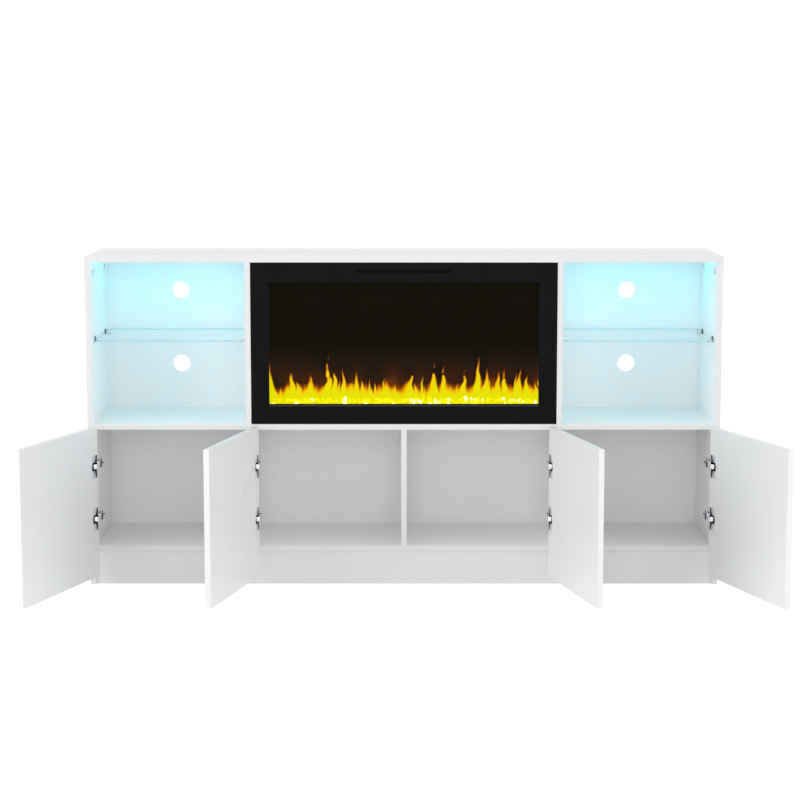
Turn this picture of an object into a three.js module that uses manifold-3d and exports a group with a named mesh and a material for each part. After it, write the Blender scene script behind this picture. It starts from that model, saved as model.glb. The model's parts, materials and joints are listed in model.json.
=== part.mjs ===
// A television stand with an electric fireplace insert: four cabinets below with concealed-hinge
// doors, two lit open bays with glass shelves above, and the fireplace between them.
// Millimetres, +Z up, front at -Y, the origin on the floor at the middle of the carcass.
import * as THREE from "three";
import { mergeVertices } from "three/addons/utils/BufferGeometryUtils.js";
import Module from "manifold-3d";

const wasm = await Module();
wasm.setup();

// Carcass
const WIDTH = 1800;
const DEPTH = 390;
const HEIGHT = 940;
const BOARD = 16;
const PLINTH_HEIGHT = 96;
const PLINTH_RECESS = 6;
const CENTRE_BAY = 868;
const LOWER_BAY = 336;
const BACK_BOARD = 5;
const BACK_RECESS = 22;
const FOOT_DEPTH = 16;
const CABLE_HOLE = 52;
const CABLE_HOLE_BELOW_TOP = 106;
const CABLE_HOLE_PITCH = 220;

// Glass shelves and their clips
const GLASS = 6;
const SHELF_RISE = 234;
const SHELF_SETBACK = 6;
const SHELF_BACK_GAP = 8;
const SHELF_END_GAP = 4;
const CLIP_REACH = 20;
const CLIP_LENGTH = 16;
const CLIP_JAW = 3.5;
const CLIP_WEB = 3.2;
const CLIP_PLAY = 0.5;
const CLIP_FRONT = 60;
const CLIP_PITCH = 210;

// Light strips
const STRIP_WIDTH = 14;
const STRIP_HEIGHT = 8;
const STRIP_END_GAP = 10;
const STRIP_BEHIND_FRONT = 195;
const STRIP_GROOVE = 9;
const STRIP_GROOVE_DEPTH = 3;

// Doors
const DOOR = 16;
const DOOR_GAP = 2;
const DOOR_REVEAL = 1;
const DOOR_JOINT = 2;
const DOOR_BOTTOM = 29;
const DOOR_TOP = 459;
const OUTER_OPEN_DEG = 108.5;
const CENTRE_OPEN_DEG = 103.5;

// Concealed hinges
const AXIS_INSET = 8;
const AXIS_FORWARD = 21.2;
const HINGE_LOW = 197;
const HINGE_PITCH = 151;
const CUP = 35;
const CUP_EDGE = 5;
const CUP_DEPTH = 11;
const CUP_WALL = 1;
const CUP_FLANGE = 1.2;
const CUP_WING_WIDTH = 21;
const CUP_WING_LENGTH = 65;
const SEAT_GAP = 0.3;
const PLATE = 2.5;
const PLATE_LENGTH = 36;
const PLATE_HEIGHT = 34;
const ARM_HEIGHT = 17;
const ARM_BACK = 58;
const ARM_WIDTH = 14;
const ARM_LIFT = 5;
const ARM_RAMP = 10;
const ARM_NOSE = 1;

// Fireplace insert
const FRAME_PLAY = 1;
const FRAME = 6;
const WINDOW_SIDE = 52;
const WINDOW_HEAD = 55;
const WINDOW_SILL = 58;
const WINDOW_LAP = 10;
const WINDOW_GLASS = 4;
const OUTLET_WIDTH = 270;
const OUTLET_HEIGHT = 8;
const OUTLET_BELOW_TOP = 22;
const CASING_PLAY = 6;
const CASING_DEPTH = 144;
const CASING_WALL = 2;
const GLAND = 16;
const GLAND_BORE = 8;
const GLAND_LENGTH = 12;
const GLAND_INSET = 60;
const GLAND_RISE = 40;
const SHEET = 3;
const SCREEN_SETBACK = 68;
const SCREEN_SIDE = 2;
const SCREEN_TOP_GAP = 36;
const EMBER_GAP = 4;
const EMBER_DEPTH = 50;
const EMBER_SIDE = 4;
const EMBER_TRAY = 8;
const EMBER_TOP = 54;
const EMBER_LEG = 4;
const CRYSTAL = 9;
const CRYSTAL_COUNT = 44;
const CRYSTAL_ROWS = 3;
const SPINDLE = 6;
const SPINDLE_LENGTH = 640;
const SPINDLE_RISE = 70;
const SPINDLE_BACK = 40;
const SPINDLE_PLAY = 0.3;
const FIN_REACH = 17;
const FIN_LENGTH = 12;
const FIN_THICKNESS = 1.6;
const FIN_COUNT = 24;
const FIN_TURN_DEG = 67;
const MOTOR = 46;
const MOTOR_LENGTH = 26;
const BEARING_PLATE = 6;
const BEARING_PLATE_DEPTH = 24;
const LIGHT_BAR_WIDTH = 16;
const LIGHT_BAR_HEIGHT = 12;
const LIGHT_BAR_GAP = 8;
const DUCT_WALL = 1.6;
const DUCT_HEIGHT = 32;
const DUCT_TOP_GAP = 6;
const DUCT_DEPTH = 74;
const DUCT_CHEEK = 36;
const HEATER_BARS = 9;
const HEATER_BAR = 3;
const HEATER_DEPTH = 14;
const HEATER_SETBACK = 20;
const WHEEL = 24;
const WHEEL_LENGTH = 256;
const WHEEL_HUB = 9;
const WHEEL_BLADES = 10;
const WHEEL_BLADE = 1.6;
const WHEEL_SHAFT = 5;
const WHEEL_PLAY = 0.3;
const CONTROL_DEPTH = 56;
const CONTROL_HEIGHT = 30;
const CONTROL_INSET = 14;
const OVERRUN = 5;
const ARC_STEPS = 32;
const SMALL_STEPS = 16;

// Places that follow from the sizes above
const FRONT = -DEPTH / 2;
const BACK = DEPTH / 2;
const SIDE_IN = WIDTH / 2 - BOARD;
const DIVIDER_IN = CENTRE_BAY / 2;
const DIVIDER_OUT = DIVIDER_IN + BOARD;
const DIVIDER_MID = DIVIDER_IN + BOARD / 2;
const TOP_UNDER = HEIGHT - BOARD;
const FLOOR_TOP = PLINTH_HEIGHT + BOARD;
const MID_UNDER = FLOOR_TOP + LOWER_BAY;
const MID_TOP = MID_UNDER + BOARD;
const BACK_FACE = BACK - BACK_RECESS - BACK_BOARD;
const SHELF_UNDER = MID_TOP + SHELF_RISE;
const AXIS_Y = FRONT - AXIS_FORWARD;
const DOOR_INNER = FRONT - DOOR_GAP;
const FRAME_BACK = FRONT + FRAME;
const CASING_IN = CENTRE_BAY / 2 - CASING_PLAY - CASING_WALL;
const CASING_TOP = TOP_UNDER - CASING_PLAY;
const CASING_BACK = FRAME_BACK + CASING_DEPTH;
const CASING_FLOOR = MID_TOP + CASING_WALL;
const WINDOW_BOTTOM = MID_TOP + WINDOW_SILL;
const WINDOW_TOP = TOP_UNDER - WINDOW_HEAD;
const WINDOW_HALF = CENTRE_BAY / 2 - WINDOW_SIDE;
const SPINDLE_Y = CASING_BACK - CASING_WALL - SPINDLE_BACK;
const SPINDLE_Z = CASING_FLOOR + SPINDLE_RISE;
const DUCT_TOP = CASING_TOP - DUCT_TOP_GAP;
const DUCT_MID = DUCT_TOP - DUCT_HEIGHT / 2;
const WHEEL_Y = FRAME_BACK + DUCT_DEPTH + DUCT_CHEEK / 2;

const LOOKS = {
  white_board: { color: 0xf2f3f3, roughness: 0.35, metalness: 0 },
  white_gloss: { color: 0xf7f8f8, roughness: 0.15, metalness: 0 },
  back_board: { color: 0xe9ebec, roughness: 0.5, metalness: 0 },
  glass: { color: 0xbfe6ea, roughness: 0.05, metalness: 0 },
  smoked_glass: { color: 0x14110f, roughness: 0.08, metalness: 0 },
  zinc: { color: 0xb8bcc0, roughness: 0.28, metalness: 1 },
  clip_metal: { color: 0xc9ced2, roughness: 0.3, metalness: 1 },
  black_metal: { color: 0x141414, roughness: 0.4, metalness: 0.2 },
  steel: { color: 0x8c9094, roughness: 0.4, metalness: 0.9 },
  aluminium: { color: 0xc4c8cb, roughness: 0.35, metalness: 1 },
  black_plastic: { color: 0x1b1c1d, roughness: 0.5, metalness: 0 },
  crystal: { color: 0xfff2c8, roughness: 0.12, metalness: 0 },
};

function solid(geometry) {
  const bare = geometry.clone();
  bare.deleteAttribute("normal");
  bare.deleteAttribute("uv");
  const merged = mergeVertices(bare);
  return new wasm.Manifold(
    new wasm.Mesh({
      numProp: 3,
      vertProperties: merged.attributes.position.array,
      triVerts: new Uint32Array(merged.index.array),
    }),
  );
}

function geometryOf(body) {
  const { vertProperties, triVerts } = body.getMesh();
  const made = new THREE.BufferGeometry();
  made.setAttribute("position", new THREE.BufferAttribute(new Float32Array(vertProperties), 3));
  made.setIndex(new THREE.BufferAttribute(new Uint32Array(triVerts), 1));
  made.computeVertexNormals();
  return made;
}

function join(...geometries) {
  return geometryOf(geometries.map(solid).reduce((whole, next) => whole.add(next)));
}

function cut(geometry, ...tools) {
  return geometryOf(tools.map(solid).reduce((rest, tool) => rest.subtract(tool), solid(geometry)));
}

function block([x0, x1], [y0, y1], [z0, z1]) {
  const made = new THREE.BoxGeometry(Math.abs(x1 - x0), Math.abs(y1 - y0), Math.abs(z1 - z0));
  return made.translate((x0 + x1) / 2, (y0 + y1) / 2, (z0 + z1) / 2);
}

// A round bar from start to end along one axis, x or y, through a centre given on the other two.
function barAlongX(diameter, [x0, x1], y, z, steps = SMALL_STEPS) {
  const made = new THREE.CylinderGeometry(diameter / 2, diameter / 2, x1 - x0, steps);
  return made.rotateZ(Math.PI / 2).translate((x0 + x1) / 2, y, z);
}

function barAlongY(diameter, x, [y0, y1], z, steps = ARC_STEPS) {
  const made = new THREE.CylinderGeometry(diameter / 2, diameter / 2, y1 - y0, steps);
  return made.translate(x, (y0 + y1) / 2, z);
}

// An outline given in plan as [x, y] points, from z0 up to z1.
function planExtrusion(points, z0, z1) {
  const outline = new THREE.Shape(points.map(([x, y]) => new THREE.Vector2(x, y)));
  return new THREE.ExtrudeGeometry(outline, { depth: z1 - z0, bevelEnabled: false }).translate(0, 0, z0);
}

// An outline given from the front as [x, z] points, from y0 back to y1.
function part(name, look, geometry) {
  const mesh = new THREE.Mesh(geometry, new THREE.MeshStandardMaterial(LOOKS[look]));
  mesh.name = name;
  return mesh;
}

const SIDES = [
  ["left", -1],
  ["right", 1],
];

function span(side, inner, outer) {
  return side < 0 ? [-outer, -inner] : [inner, outer];
}

function sidePanel(name, side) {
  const panel = block(span(side, SIDE_IN, WIDTH / 2), [FRONT, BACK], [0, TOP_UNDER]);
  return part("side_" + name, "white_board", panel);
}

function divider(name, side) {
  const across = span(side, DIVIDER_IN, DIVIDER_OUT);
  const panel = block(across, [FRONT, BACK], [0, TOP_UNDER]);
  const wide = span(side, DIVIDER_IN - OVERRUN, DIVIDER_OUT + OVERRUN);
  const notch = block(
    wide,
    [FRONT - OVERRUN, FRONT + PLINTH_RECESS + BOARD],
    [-OVERRUN, PLINTH_HEIGHT],
  );
  return part("divider_" + name, "white_board", cut(panel, notch));
}

function wingBoard(kind, name, side, back, z0, z1) {
  const board = block(span(side, DIVIDER_OUT, SIDE_IN), [FRONT, back], [z0, z1]);
  return part(kind + "_" + name, "white_board", board);
}

function backPanel(name, side) {
  const x = (side * (DIVIDER_OUT + SIDE_IN)) / 2;
  const depth = [BACK_FACE, BACK_FACE + BACK_BOARD];
  const panel = block(span(side, DIVIDER_OUT, SIDE_IN), depth, [FLOOR_TOP, TOP_UNDER]);
  const holes = [0, CABLE_HOLE_PITCH].map((drop) =>
    barAlongY(
      CABLE_HOLE,
      x,
      [BACK_FACE - OVERRUN, BACK_FACE + BACK_BOARD + OVERRUN],
      TOP_UNDER - CABLE_HOLE_BELOW_TOP - drop,
    ),
  );
  return part("back_" + name, "back_board", cut(panel, ...holes));
}

function centreBoards() {
  const bay = [-DIVIDER_IN, DIVIDER_IN];
  const middle = [-BOARD / 2, BOARD / 2];
  const foot = [FRONT - OVERRUN, FRONT + FOOT_DEPTH];
  const under = [PLINTH_HEIGHT - OVERRUN, FLOOR_TOP + OVERRUN];
  const bottom = cut(block(bay, [FRONT, BACK], [PLINTH_HEIGHT, FLOOR_TOP]), block(middle, foot, under));
  const upright = join(
    block(middle, [FRONT, BACK_FACE], [FLOOR_TOP, MID_UNDER]),
    block(middle, [FRONT, FRONT + FOOT_DEPTH], [PLINTH_HEIGHT, FLOOR_TOP]),
  );
  const backDepth = [BACK_FACE, BACK_FACE + BACK_BOARD];
  return [
    part("mid_board_centre", "white_board", block(bay, [FRONT, BACK], [MID_UNDER, MID_TOP])),
    part("bottom_board_centre", "white_board", bottom),
    part("centre_divider", "white_board", upright),
    part("back_centre", "back_board", block(bay, backDepth, [FLOOR_TOP, MID_UNDER])),
  ];
}

function plinthAndRail() {
  const face = [FRONT + PLINTH_RECESS, FRONT + PLINTH_RECESS + BOARD];
  const tall = [0, PLINTH_HEIGHT];
  return [
    part("plinth", "white_board", block([-SIDE_IN, SIDE_IN], face, tall)),
    part("centre_rail", "white_board", block([-BOARD / 2, BOARD / 2], [face[1], BACK], tall)),
  ];
}

function glassShelf(name, side) {
  const across = span(side, DIVIDER_OUT + SHELF_END_GAP, SIDE_IN - SHELF_END_GAP);
  const depth = [FRONT + SHELF_SETBACK, BACK_FACE - SHELF_BACK_GAP];
  return part("glass_shelf_" + name, "glass", block(across, depth, [SHELF_UNDER, SHELF_UNDER + GLASS]));
}

// A jaw that grips the shelf's end: wall is the board face that carries it, reach its way out.
function shelfClip(name, wall, reach, y) {
  const low = SHELF_UNDER - CLIP_JAW;
  const high = SHELF_UNDER + GLASS + CLIP_PLAY + CLIP_JAW;
  const tip = wall + reach * CLIP_REACH;
  const jaw = block([wall, tip], [y, y + CLIP_LENGTH], [low, high]);
  const slot = block(
    [wall + reach * CLIP_WEB, tip + reach * OVERRUN],
    [y - OVERRUN, y + CLIP_LENGTH + OVERRUN],
    [SHELF_UNDER, SHELF_UNDER + GLASS + CLIP_PLAY],
  );
  return part(name, "clip_metal", cut(jaw, slot));
}

function shelfClips(name, side) {
  const walls = [
    ["outer", side * SIDE_IN, -side],
    ["inner", side * DIVIDER_OUT, side],
  ];
  const places = [
    ["front", FRONT + CLIP_FRONT],
    ["rear", FRONT + CLIP_FRONT + CLIP_PITCH],
  ];
  return walls.flatMap(([wallName, wall, reach]) =>
    places.map(([place, y]) => shelfClip(`shelf_clip_${name}_${wallName}_${place}`, wall, reach, y)),
  );
}

function lightStrip(name, side) {
  const across = span(side, DIVIDER_OUT + STRIP_END_GAP, SIDE_IN - STRIP_END_GAP);
  const middle = FRONT + STRIP_BEHIND_FRONT;
  const bar = block(
    across,
    [middle - STRIP_WIDTH / 2, middle + STRIP_WIDTH / 2],
    [TOP_UNDER - STRIP_HEIGHT, TOP_UNDER],
  );
  const groove = block(
    [across[0] - OVERRUN, across[1] + OVERRUN],
    [middle - STRIP_GROOVE / 2, middle + STRIP_GROOVE / 2],
    [TOP_UNDER - STRIP_HEIGHT - OVERRUN, TOP_UNDER - STRIP_HEIGHT + STRIP_GROOVE_DEPTH],
  );
  return part("led_strip_" + name, "aluminium", cut(bar, groove));
}

// A hinge arm on a board: wall is the board's inner face, reach its way into the cabinet.
function hingeArm(name, wall, reach, z) {
  const at = (out, behind) => [wall + reach * out, FRONT + behind];
  const plateBack = ARM_BACK - OVERRUN / 2;
  const plate = block(
    [wall, wall + reach * PLATE],
    [FRONT + plateBack - PLATE_LENGTH, FRONT + plateBack],
    [z - PLATE_HEIGHT / 2, z + PLATE_HEIGHT / 2],
  );
  const outline = [
    at(PLATE / 2, ARM_BACK - PLATE_LENGTH),
    at(PLATE + ARM_LIFT, ARM_BACK - PLATE_LENGTH - ARM_RAMP),
    at(PLATE + ARM_LIFT, ARM_NOSE),
    at(PLATE + ARM_LIFT + ARM_WIDTH, ARM_NOSE),
    at(PLATE + ARM_LIFT + ARM_WIDTH, ARM_BACK - PLATE_LENGTH - ARM_RAMP),
    at(PLATE + ARM_WIDTH, ARM_BACK),
    at(PLATE / 2, ARM_BACK),
  ];
  const arm = planExtrusion(outline, z - ARM_HEIGHT / 2, z + ARM_HEIGHT / 2);
  return part(name, "zinc", join(plate, arm));
}

// A door in its own closed frame about the hinge axis: toEdge points at the hinge edge.
function doorPanel(name, toEdge, width, cupX, cupZs) {
  const inner = DOOR_INNER - AXIS_Y;
  const edge = toEdge * AXIS_INSET;
  const panel = block([edge, edge - toEdge * width], [inner - DOOR, inner], [DOOR_BOTTOM, DOOR_TOP]);
  const pocket = CUP + 2 * SEAT_GAP;
  const floor = inner - CUP_DEPTH - SEAT_GAP;
  const pockets = cupZs.map((z) => barAlongY(pocket, cupX, [floor, inner + OVERRUN], z));
  return part(name, "white_gloss", cut(panel, ...pockets));
}

function hingeCup(name, x, z) {
  const inner = DOOR_INNER - AXIS_Y;
  const seat = inner + SEAT_GAP;
  const shell = join(
    barAlongY(CUP, x, [inner - CUP_DEPTH, seat + CUP_FLANGE], z),
    block(
      [x - CUP_WING_WIDTH / 2, x + CUP_WING_WIDTH / 2],
      [seat, seat + CUP_FLANGE],
      [z - CUP_WING_LENGTH / 2, z + CUP_WING_LENGTH / 2],
    ),
  );
  const hollow = barAlongY(
    CUP - 2 * CUP_WALL,
    x,
    [inner - CUP_DEPTH + CUP_WALL, seat + CUP_FLANGE + OVERRUN],
    z,
  );
  return part(name, "zinc", cut(shell, hollow));
}

const HINGE_PLACES = [
  ["lower", HINGE_LOW],
  ["upper", HINGE_LOW + HINGE_PITCH],
];

// One door with its cups, standing open, and the arms that carry it on the carcass.
function door(name, side, hingeEdge, width, wall, openDeg) {
  const swing = new THREE.Group();
  swing.position.set(side * (hingeEdge - AXIS_INSET), AXIS_Y, 0);
  swing.rotation.z = THREE.MathUtils.degToRad(side * openDeg);
  const cupX = side * (AXIS_INSET - CUP_EDGE - CUP / 2);
  const heights = HINGE_PLACES.map(([, z]) => z);
  swing.add(doorPanel("door_" + name, side, width, cupX, heights));
  const arms = HINGE_PLACES.map(([place, z]) => {
    swing.add(hingeCup(`hinge_cup_${name}_${place}`, cupX, z));
    return hingeArm(`hinge_arm_${name}_${place}`, side * wall, -side, z);
  });
  return [swing, ...arms];
}

function doorPair(name, side) {
  const outerEdge = WIDTH / 2 - DOOR_REVEAL;
  const outerWidth = outerEdge - DIVIDER_MID - DOOR_JOINT / 2;
  const centreEdge = DIVIDER_MID - DOOR_JOINT / 2;
  const centreWidth = centreEdge - DOOR_JOINT / 2;
  return [
    ...door("outer_" + name, side, outerEdge, outerWidth, SIDE_IN, OUTER_OPEN_DEG),
    ...door("centre_" + name, side, centreEdge, centreWidth, DIVIDER_IN, CENTRE_OPEN_DEG),
  ];
}

function frontFrame() {
  const half = CENTRE_BAY / 2 - FRAME_PLAY;
  const plate = block([-half, half], [FRONT, FRAME_BACK], [MID_TOP + FRAME_PLAY, TOP_UNDER - FRAME_PLAY]);
  const through = [FRONT - OVERRUN, FRAME_BACK + OVERRUN];
  const window = block([-WINDOW_HALF, WINDOW_HALF], through, [WINDOW_BOTTOM, WINDOW_TOP]);
  const outletTop = TOP_UNDER - OUTLET_BELOW_TOP;
  const outlet = block(
    [-OUTLET_WIDTH / 2, OUTLET_WIDTH / 2],
    through,
    [outletTop - OUTLET_HEIGHT, outletTop],
  );
  return part("front_frame", "black_metal", cut(plate, window, outlet));
}

function windowGlass() {
  const half = WINDOW_HALF + WINDOW_LAP;
  const tall = [WINDOW_BOTTOM - WINDOW_LAP, WINDOW_TOP + WINDOW_LAP];
  const pane = block([-half, half], [FRAME_BACK, FRAME_BACK + WINDOW_GLASS], tall);
  return part("window_glass", "smoked_glass", pane);
}

// The sheet-metal box, open at the front, with the spindle's bearing plate and the mains gland.
function casing() {
  const outer = CASING_IN + CASING_WALL;
  const box = block([-outer, outer], [FRAME_BACK, CASING_BACK], [MID_TOP, CASING_TOP]);
  const room = block(
    [-CASING_IN, CASING_IN],
    [FRAME_BACK - OVERRUN, CASING_BACK - CASING_WALL],
    [CASING_FLOOR, CASING_TOP - CASING_WALL],
  );
  const plateX = SPINDLE_LENGTH / 2 - BEARING_PLATE;
  const plate = block(
    [plateX, plateX + BEARING_PLATE],
    [SPINDLE_Y - BEARING_PLATE_DEPTH / 2, SPINDLE_Y + BEARING_PLATE_DEPTH / 2],
    [CASING_FLOOR - CASING_WALL / 2, SPINDLE_Z + BEARING_PLATE_DEPTH / 2],
  );
  const glandX = CASING_IN - GLAND_INSET;
  const glandZ = CASING_FLOOR + GLAND_RISE;
  const gland = barAlongY(GLAND, glandX, [CASING_BACK - CASING_WALL, CASING_BACK + GLAND_LENGTH], glandZ);
  const shell = join(cut(box, room), plate, gland);
  const bearing = barAlongX(
    SPINDLE + 2 * SPINDLE_PLAY,
    [plateX - OVERRUN, plateX + BEARING_PLATE + OVERRUN],
    SPINDLE_Y,
    SPINDLE_Z,
  );
  const cordWay = barAlongY(
    GLAND_BORE,
    glandX,
    [CASING_BACK - CASING_WALL - OVERRUN, CASING_BACK + GLAND_LENGTH + OVERRUN],
    glandZ,
  );
  return part("insert_casing", "black_metal", cut(shell, bearing, cordWay));
}

function flameScreen() {
  const y = FRONT + SCREEN_SETBACK;
  const tall = [CASING_FLOOR, CASING_TOP - SCREEN_TOP_GAP - DUCT_TOP_GAP];
  const half = WINDOW_HALF - SCREEN_SIDE;
  return part("flame_screen", "smoked_glass", block([-half, half], [y, y + SHEET], tall));
}

// A shallow tray on two end legs, heaped with cut crystals in staggered rows.
function emberBed() {
  const y0 = FRAME_BACK + WINDOW_GLASS + EMBER_GAP;
  const y1 = y0 + EMBER_DEPTH;
  const top = CASING_FLOOR + EMBER_TOP;
  const half = WINDOW_HALF - EMBER_SIDE;
  const tray = block([-half, half], [y0, y1], [top - EMBER_TRAY, top]);
  const legs = [-half, half - EMBER_LEG].map((x) => block([x, x + EMBER_LEG], [y0, y1], [CASING_FLOOR, top]));
  const crystals = Array.from({ length: CRYSTAL_COUNT }, (_, index) => {
    const row = index % CRYSTAL_ROWS;
    const size = CRYSTAL * (1 - ((index * 5) % 7) / 20);
    const made = new THREE.OctahedronGeometry(size);
    made.rotateZ(index).rotateX(index / 2);
    const x = -half + (2 * half * (index + 0.5)) / CRYSTAL_COUNT;
    const y = y0 + (EMBER_DEPTH * (row + 0.5)) / CRYSTAL_ROWS;
    return made.translate(x, y, top + size / 4);
  });
  return part("ember_bed", "crystal", join(tray, ...legs, ...crystals));
}

// The turning rod whose bent fins throw the moving light on the flame screen.
function flameSpindle() {
  const half = SPINDLE_LENGTH / 2;
  const rod = barAlongX(SPINDLE, [-half, half], SPINDLE_Y, SPINDLE_Z);
  const clear = half - 2 * BEARING_PLATE - FIN_LENGTH;
  const fins = Array.from({ length: FIN_COUNT }, (_, index) => {
    const fin = new THREE.BoxGeometry(FIN_LENGTH, 2 * FIN_REACH, FIN_THICKNESS);
    fin.rotateX(THREE.MathUtils.degToRad(FIN_TURN_DEG * index));
    const x = -clear + (2 * clear * index) / (FIN_COUNT - 1);
    return fin.translate(x, SPINDLE_Y, SPINDLE_Z);
  });
  return part("flame_spindle", "aluminium", join(rod, ...fins));
}

// The spindle's motor stands on the casing floor and takes the rod's left end in its socket.
function spindleMotor() {
  const face = -SPINDLE_LENGTH / 2 + BEARING_PLATE;
  const body = barAlongX(MOTOR, [face - MOTOR_LENGTH, face], SPINDLE_Y, SPINDLE_Z, ARC_STEPS);
  const foot = block(
    [face - MOTOR_LENGTH, face],
    [SPINDLE_Y - MOTOR / 4, SPINDLE_Y + MOTOR / 4],
    [CASING_FLOOR, SPINDLE_Z],
  );
  const socket = barAlongX(
    SPINDLE + 2 * SPINDLE_PLAY,
    [face - BEARING_PLATE - SPINDLE_PLAY, face + OVERRUN],
    SPINDLE_Y,
    SPINDLE_Z,
  );
  return part("spindle_motor", "steel", cut(join(body, foot), socket));
}

function lightBar() {
  const y = FRONT + SCREEN_SETBACK + SHEET + LIGHT_BAR_GAP;
  const half = SPINDLE_LENGTH / 2;
  const bar = block([-half, half], [y, y + LIGHT_BAR_WIDTH], [CASING_FLOOR, CASING_FLOOR + LIGHT_BAR_HEIGHT]);
  return part("light_bar", "aluminium", bar);
}

// The outlet duct: a flat tube from the blower to the slot, a heater grid across it, and two
// cheeks that carry the blower wheel behind.
function heaterDuct() {
  const half = OUTLET_WIDTH / 2;
  const tall = [DUCT_TOP - DUCT_HEIGHT, DUCT_TOP];
  const depth = [FRAME_BACK, FRAME_BACK + DUCT_DEPTH];
  const walls = cut(
    block([-half - DUCT_WALL, half + DUCT_WALL], depth, tall),
    block(
      [-half, half],
      [depth[0] - OVERRUN, depth[1] + OVERRUN],
      [tall[0] + DUCT_WALL, tall[1] - DUCT_WALL],
    ),
  );
  const gridY = depth[0] + HEATER_SETBACK;
  const bars = Array.from({ length: HEATER_BARS }, (_, index) => {
    const x = -half + (OUTLET_WIDTH * (index + 1)) / (HEATER_BARS + 1);
    return block([x - HEATER_BAR / 2, x + HEATER_BAR / 2], [gridY, gridY + HEATER_DEPTH], tall);
  });
  const cheeks = [-half - DUCT_WALL, half].map((x) =>
    block([x, x + DUCT_WALL], [depth[1] - DUCT_WALL, depth[1] + DUCT_CHEEK], tall),
  );
  const hanger = block(
    [-half - DUCT_WALL, half + DUCT_WALL],
    [depth[1] - BOARD, depth[1]],
    [DUCT_TOP - DUCT_WALL, CASING_TOP - CASING_WALL],
  );
  const seats = barAlongX(
    WHEEL_SHAFT + 2 * WHEEL_PLAY,
    [-half - DUCT_WALL - OVERRUN, half + DUCT_WALL + OVERRUN],
    WHEEL_Y,
    DUCT_MID,
  );
  return part("heater_duct", "steel", cut(join(walls, ...bars, ...cheeks, hanger), seats));
}

function blowerWheel() {
  const half = WHEEL_LENGTH / 2;
  const shaftHalf = OUTLET_WIDTH / 2 + DUCT_WALL;
  const shaft = barAlongX(WHEEL_SHAFT, [-shaftHalf, shaftHalf], WHEEL_Y, DUCT_MID);
  const hub = barAlongX(WHEEL_HUB, [-half, half], WHEEL_Y, DUCT_MID);
  const blades = Array.from({ length: WHEEL_BLADES / 2 }, (_, index) => {
    const blade = new THREE.BoxGeometry(WHEEL_LENGTH, WHEEL, WHEEL_BLADE);
    blade.rotateX((2 * Math.PI * index) / WHEEL_BLADES);
    return blade.translate(0, WHEEL_Y, DUCT_MID);
  });
  return part("blower_wheel", "black_plastic", join(shaft, hub, ...blades));
}

function controlBox() {
  const x1 = CASING_IN - CONTROL_INSET;
  const y1 = CASING_BACK - CASING_WALL - CONTROL_INSET;
  const box = block(
    [SPINDLE_LENGTH / 2 + CONTROL_INSET, x1],
    [y1 - CONTROL_DEPTH, y1],
    [CASING_FLOOR, CASING_FLOOR + CONTROL_HEIGHT],
  );
  return part("control_box", "black_plastic", box);
}

function fireplace() {
  return [
    frontFrame(),
    windowGlass(),
    casing(),
    flameScreen(),
    emberBed(),
    flameSpindle(),
    spindleMotor(),
    lightBar(),
    heaterDuct(),
    blowerWheel(),
    controlBox(),
  ];
}

const stand = new THREE.Group();
const top = block([-WIDTH / 2, WIDTH / 2], [FRONT, BACK], [TOP_UNDER, HEIGHT]);
stand.add(part("top_board", "white_gloss", top));
stand.add(...centreBoards(), ...plinthAndRail());
for (const [name, side] of SIDES) {
  stand.add(sidePanel(name, side), divider(name, side), backPanel(name, side));
  stand.add(wingBoard("mid_board", name, side, BACK_FACE, MID_UNDER, MID_TOP));
  stand.add(wingBoard("bottom_board", name, side, BACK, PLINTH_HEIGHT, FLOOR_TOP));
  stand.add(glassShelf(name, side), ...shelfClips(name, side), lightStrip(name, side));
  stand.add(...doorPair(name, side));
}
stand.add(...fireplace());

export default stand;
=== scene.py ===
# %% [markdown]
# This lesson dresses a white television stand with an electric fireplace in its middle bay. The
# construction arrives as a fixed frame of CAD parts: boards, doors, hinges, shelves and the
# insert. We keep every part whose shape is right and give it a finish, and model anew what needs
# finer form.

# %% Load the frame
import json
import math
import random

import bpy
from mathutils import Matrix, Vector


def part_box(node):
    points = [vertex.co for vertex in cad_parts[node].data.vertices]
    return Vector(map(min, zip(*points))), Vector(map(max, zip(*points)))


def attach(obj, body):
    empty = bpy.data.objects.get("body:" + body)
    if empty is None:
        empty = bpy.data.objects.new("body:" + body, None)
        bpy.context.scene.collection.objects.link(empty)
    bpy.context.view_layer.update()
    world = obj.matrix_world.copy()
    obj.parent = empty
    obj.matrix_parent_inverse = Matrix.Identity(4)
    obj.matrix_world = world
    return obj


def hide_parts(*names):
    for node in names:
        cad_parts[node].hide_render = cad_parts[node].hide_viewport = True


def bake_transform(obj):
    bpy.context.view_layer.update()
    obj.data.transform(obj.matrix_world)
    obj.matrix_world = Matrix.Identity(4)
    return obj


MM = 0.001
CARCASS = "carcass"

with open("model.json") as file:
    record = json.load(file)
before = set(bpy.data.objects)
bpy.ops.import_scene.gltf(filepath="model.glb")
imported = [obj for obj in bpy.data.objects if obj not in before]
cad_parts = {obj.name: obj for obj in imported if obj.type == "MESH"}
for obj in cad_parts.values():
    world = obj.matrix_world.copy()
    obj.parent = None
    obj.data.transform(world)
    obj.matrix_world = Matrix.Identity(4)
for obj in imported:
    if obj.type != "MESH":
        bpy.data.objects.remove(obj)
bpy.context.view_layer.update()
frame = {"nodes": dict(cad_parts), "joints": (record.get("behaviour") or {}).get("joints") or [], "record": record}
nodes = frame["nodes"]
joints = {joint["child"]: joint for joint in frame["joints"]}

# %% [markdown]
# The camera comes first, so that each later piece can be judged through it. The photograph was
# taken from high in front with a long lens, and its verticals lean together a little, so the
# camera looks down and the lens is shifted by a small share of the frame.

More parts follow.
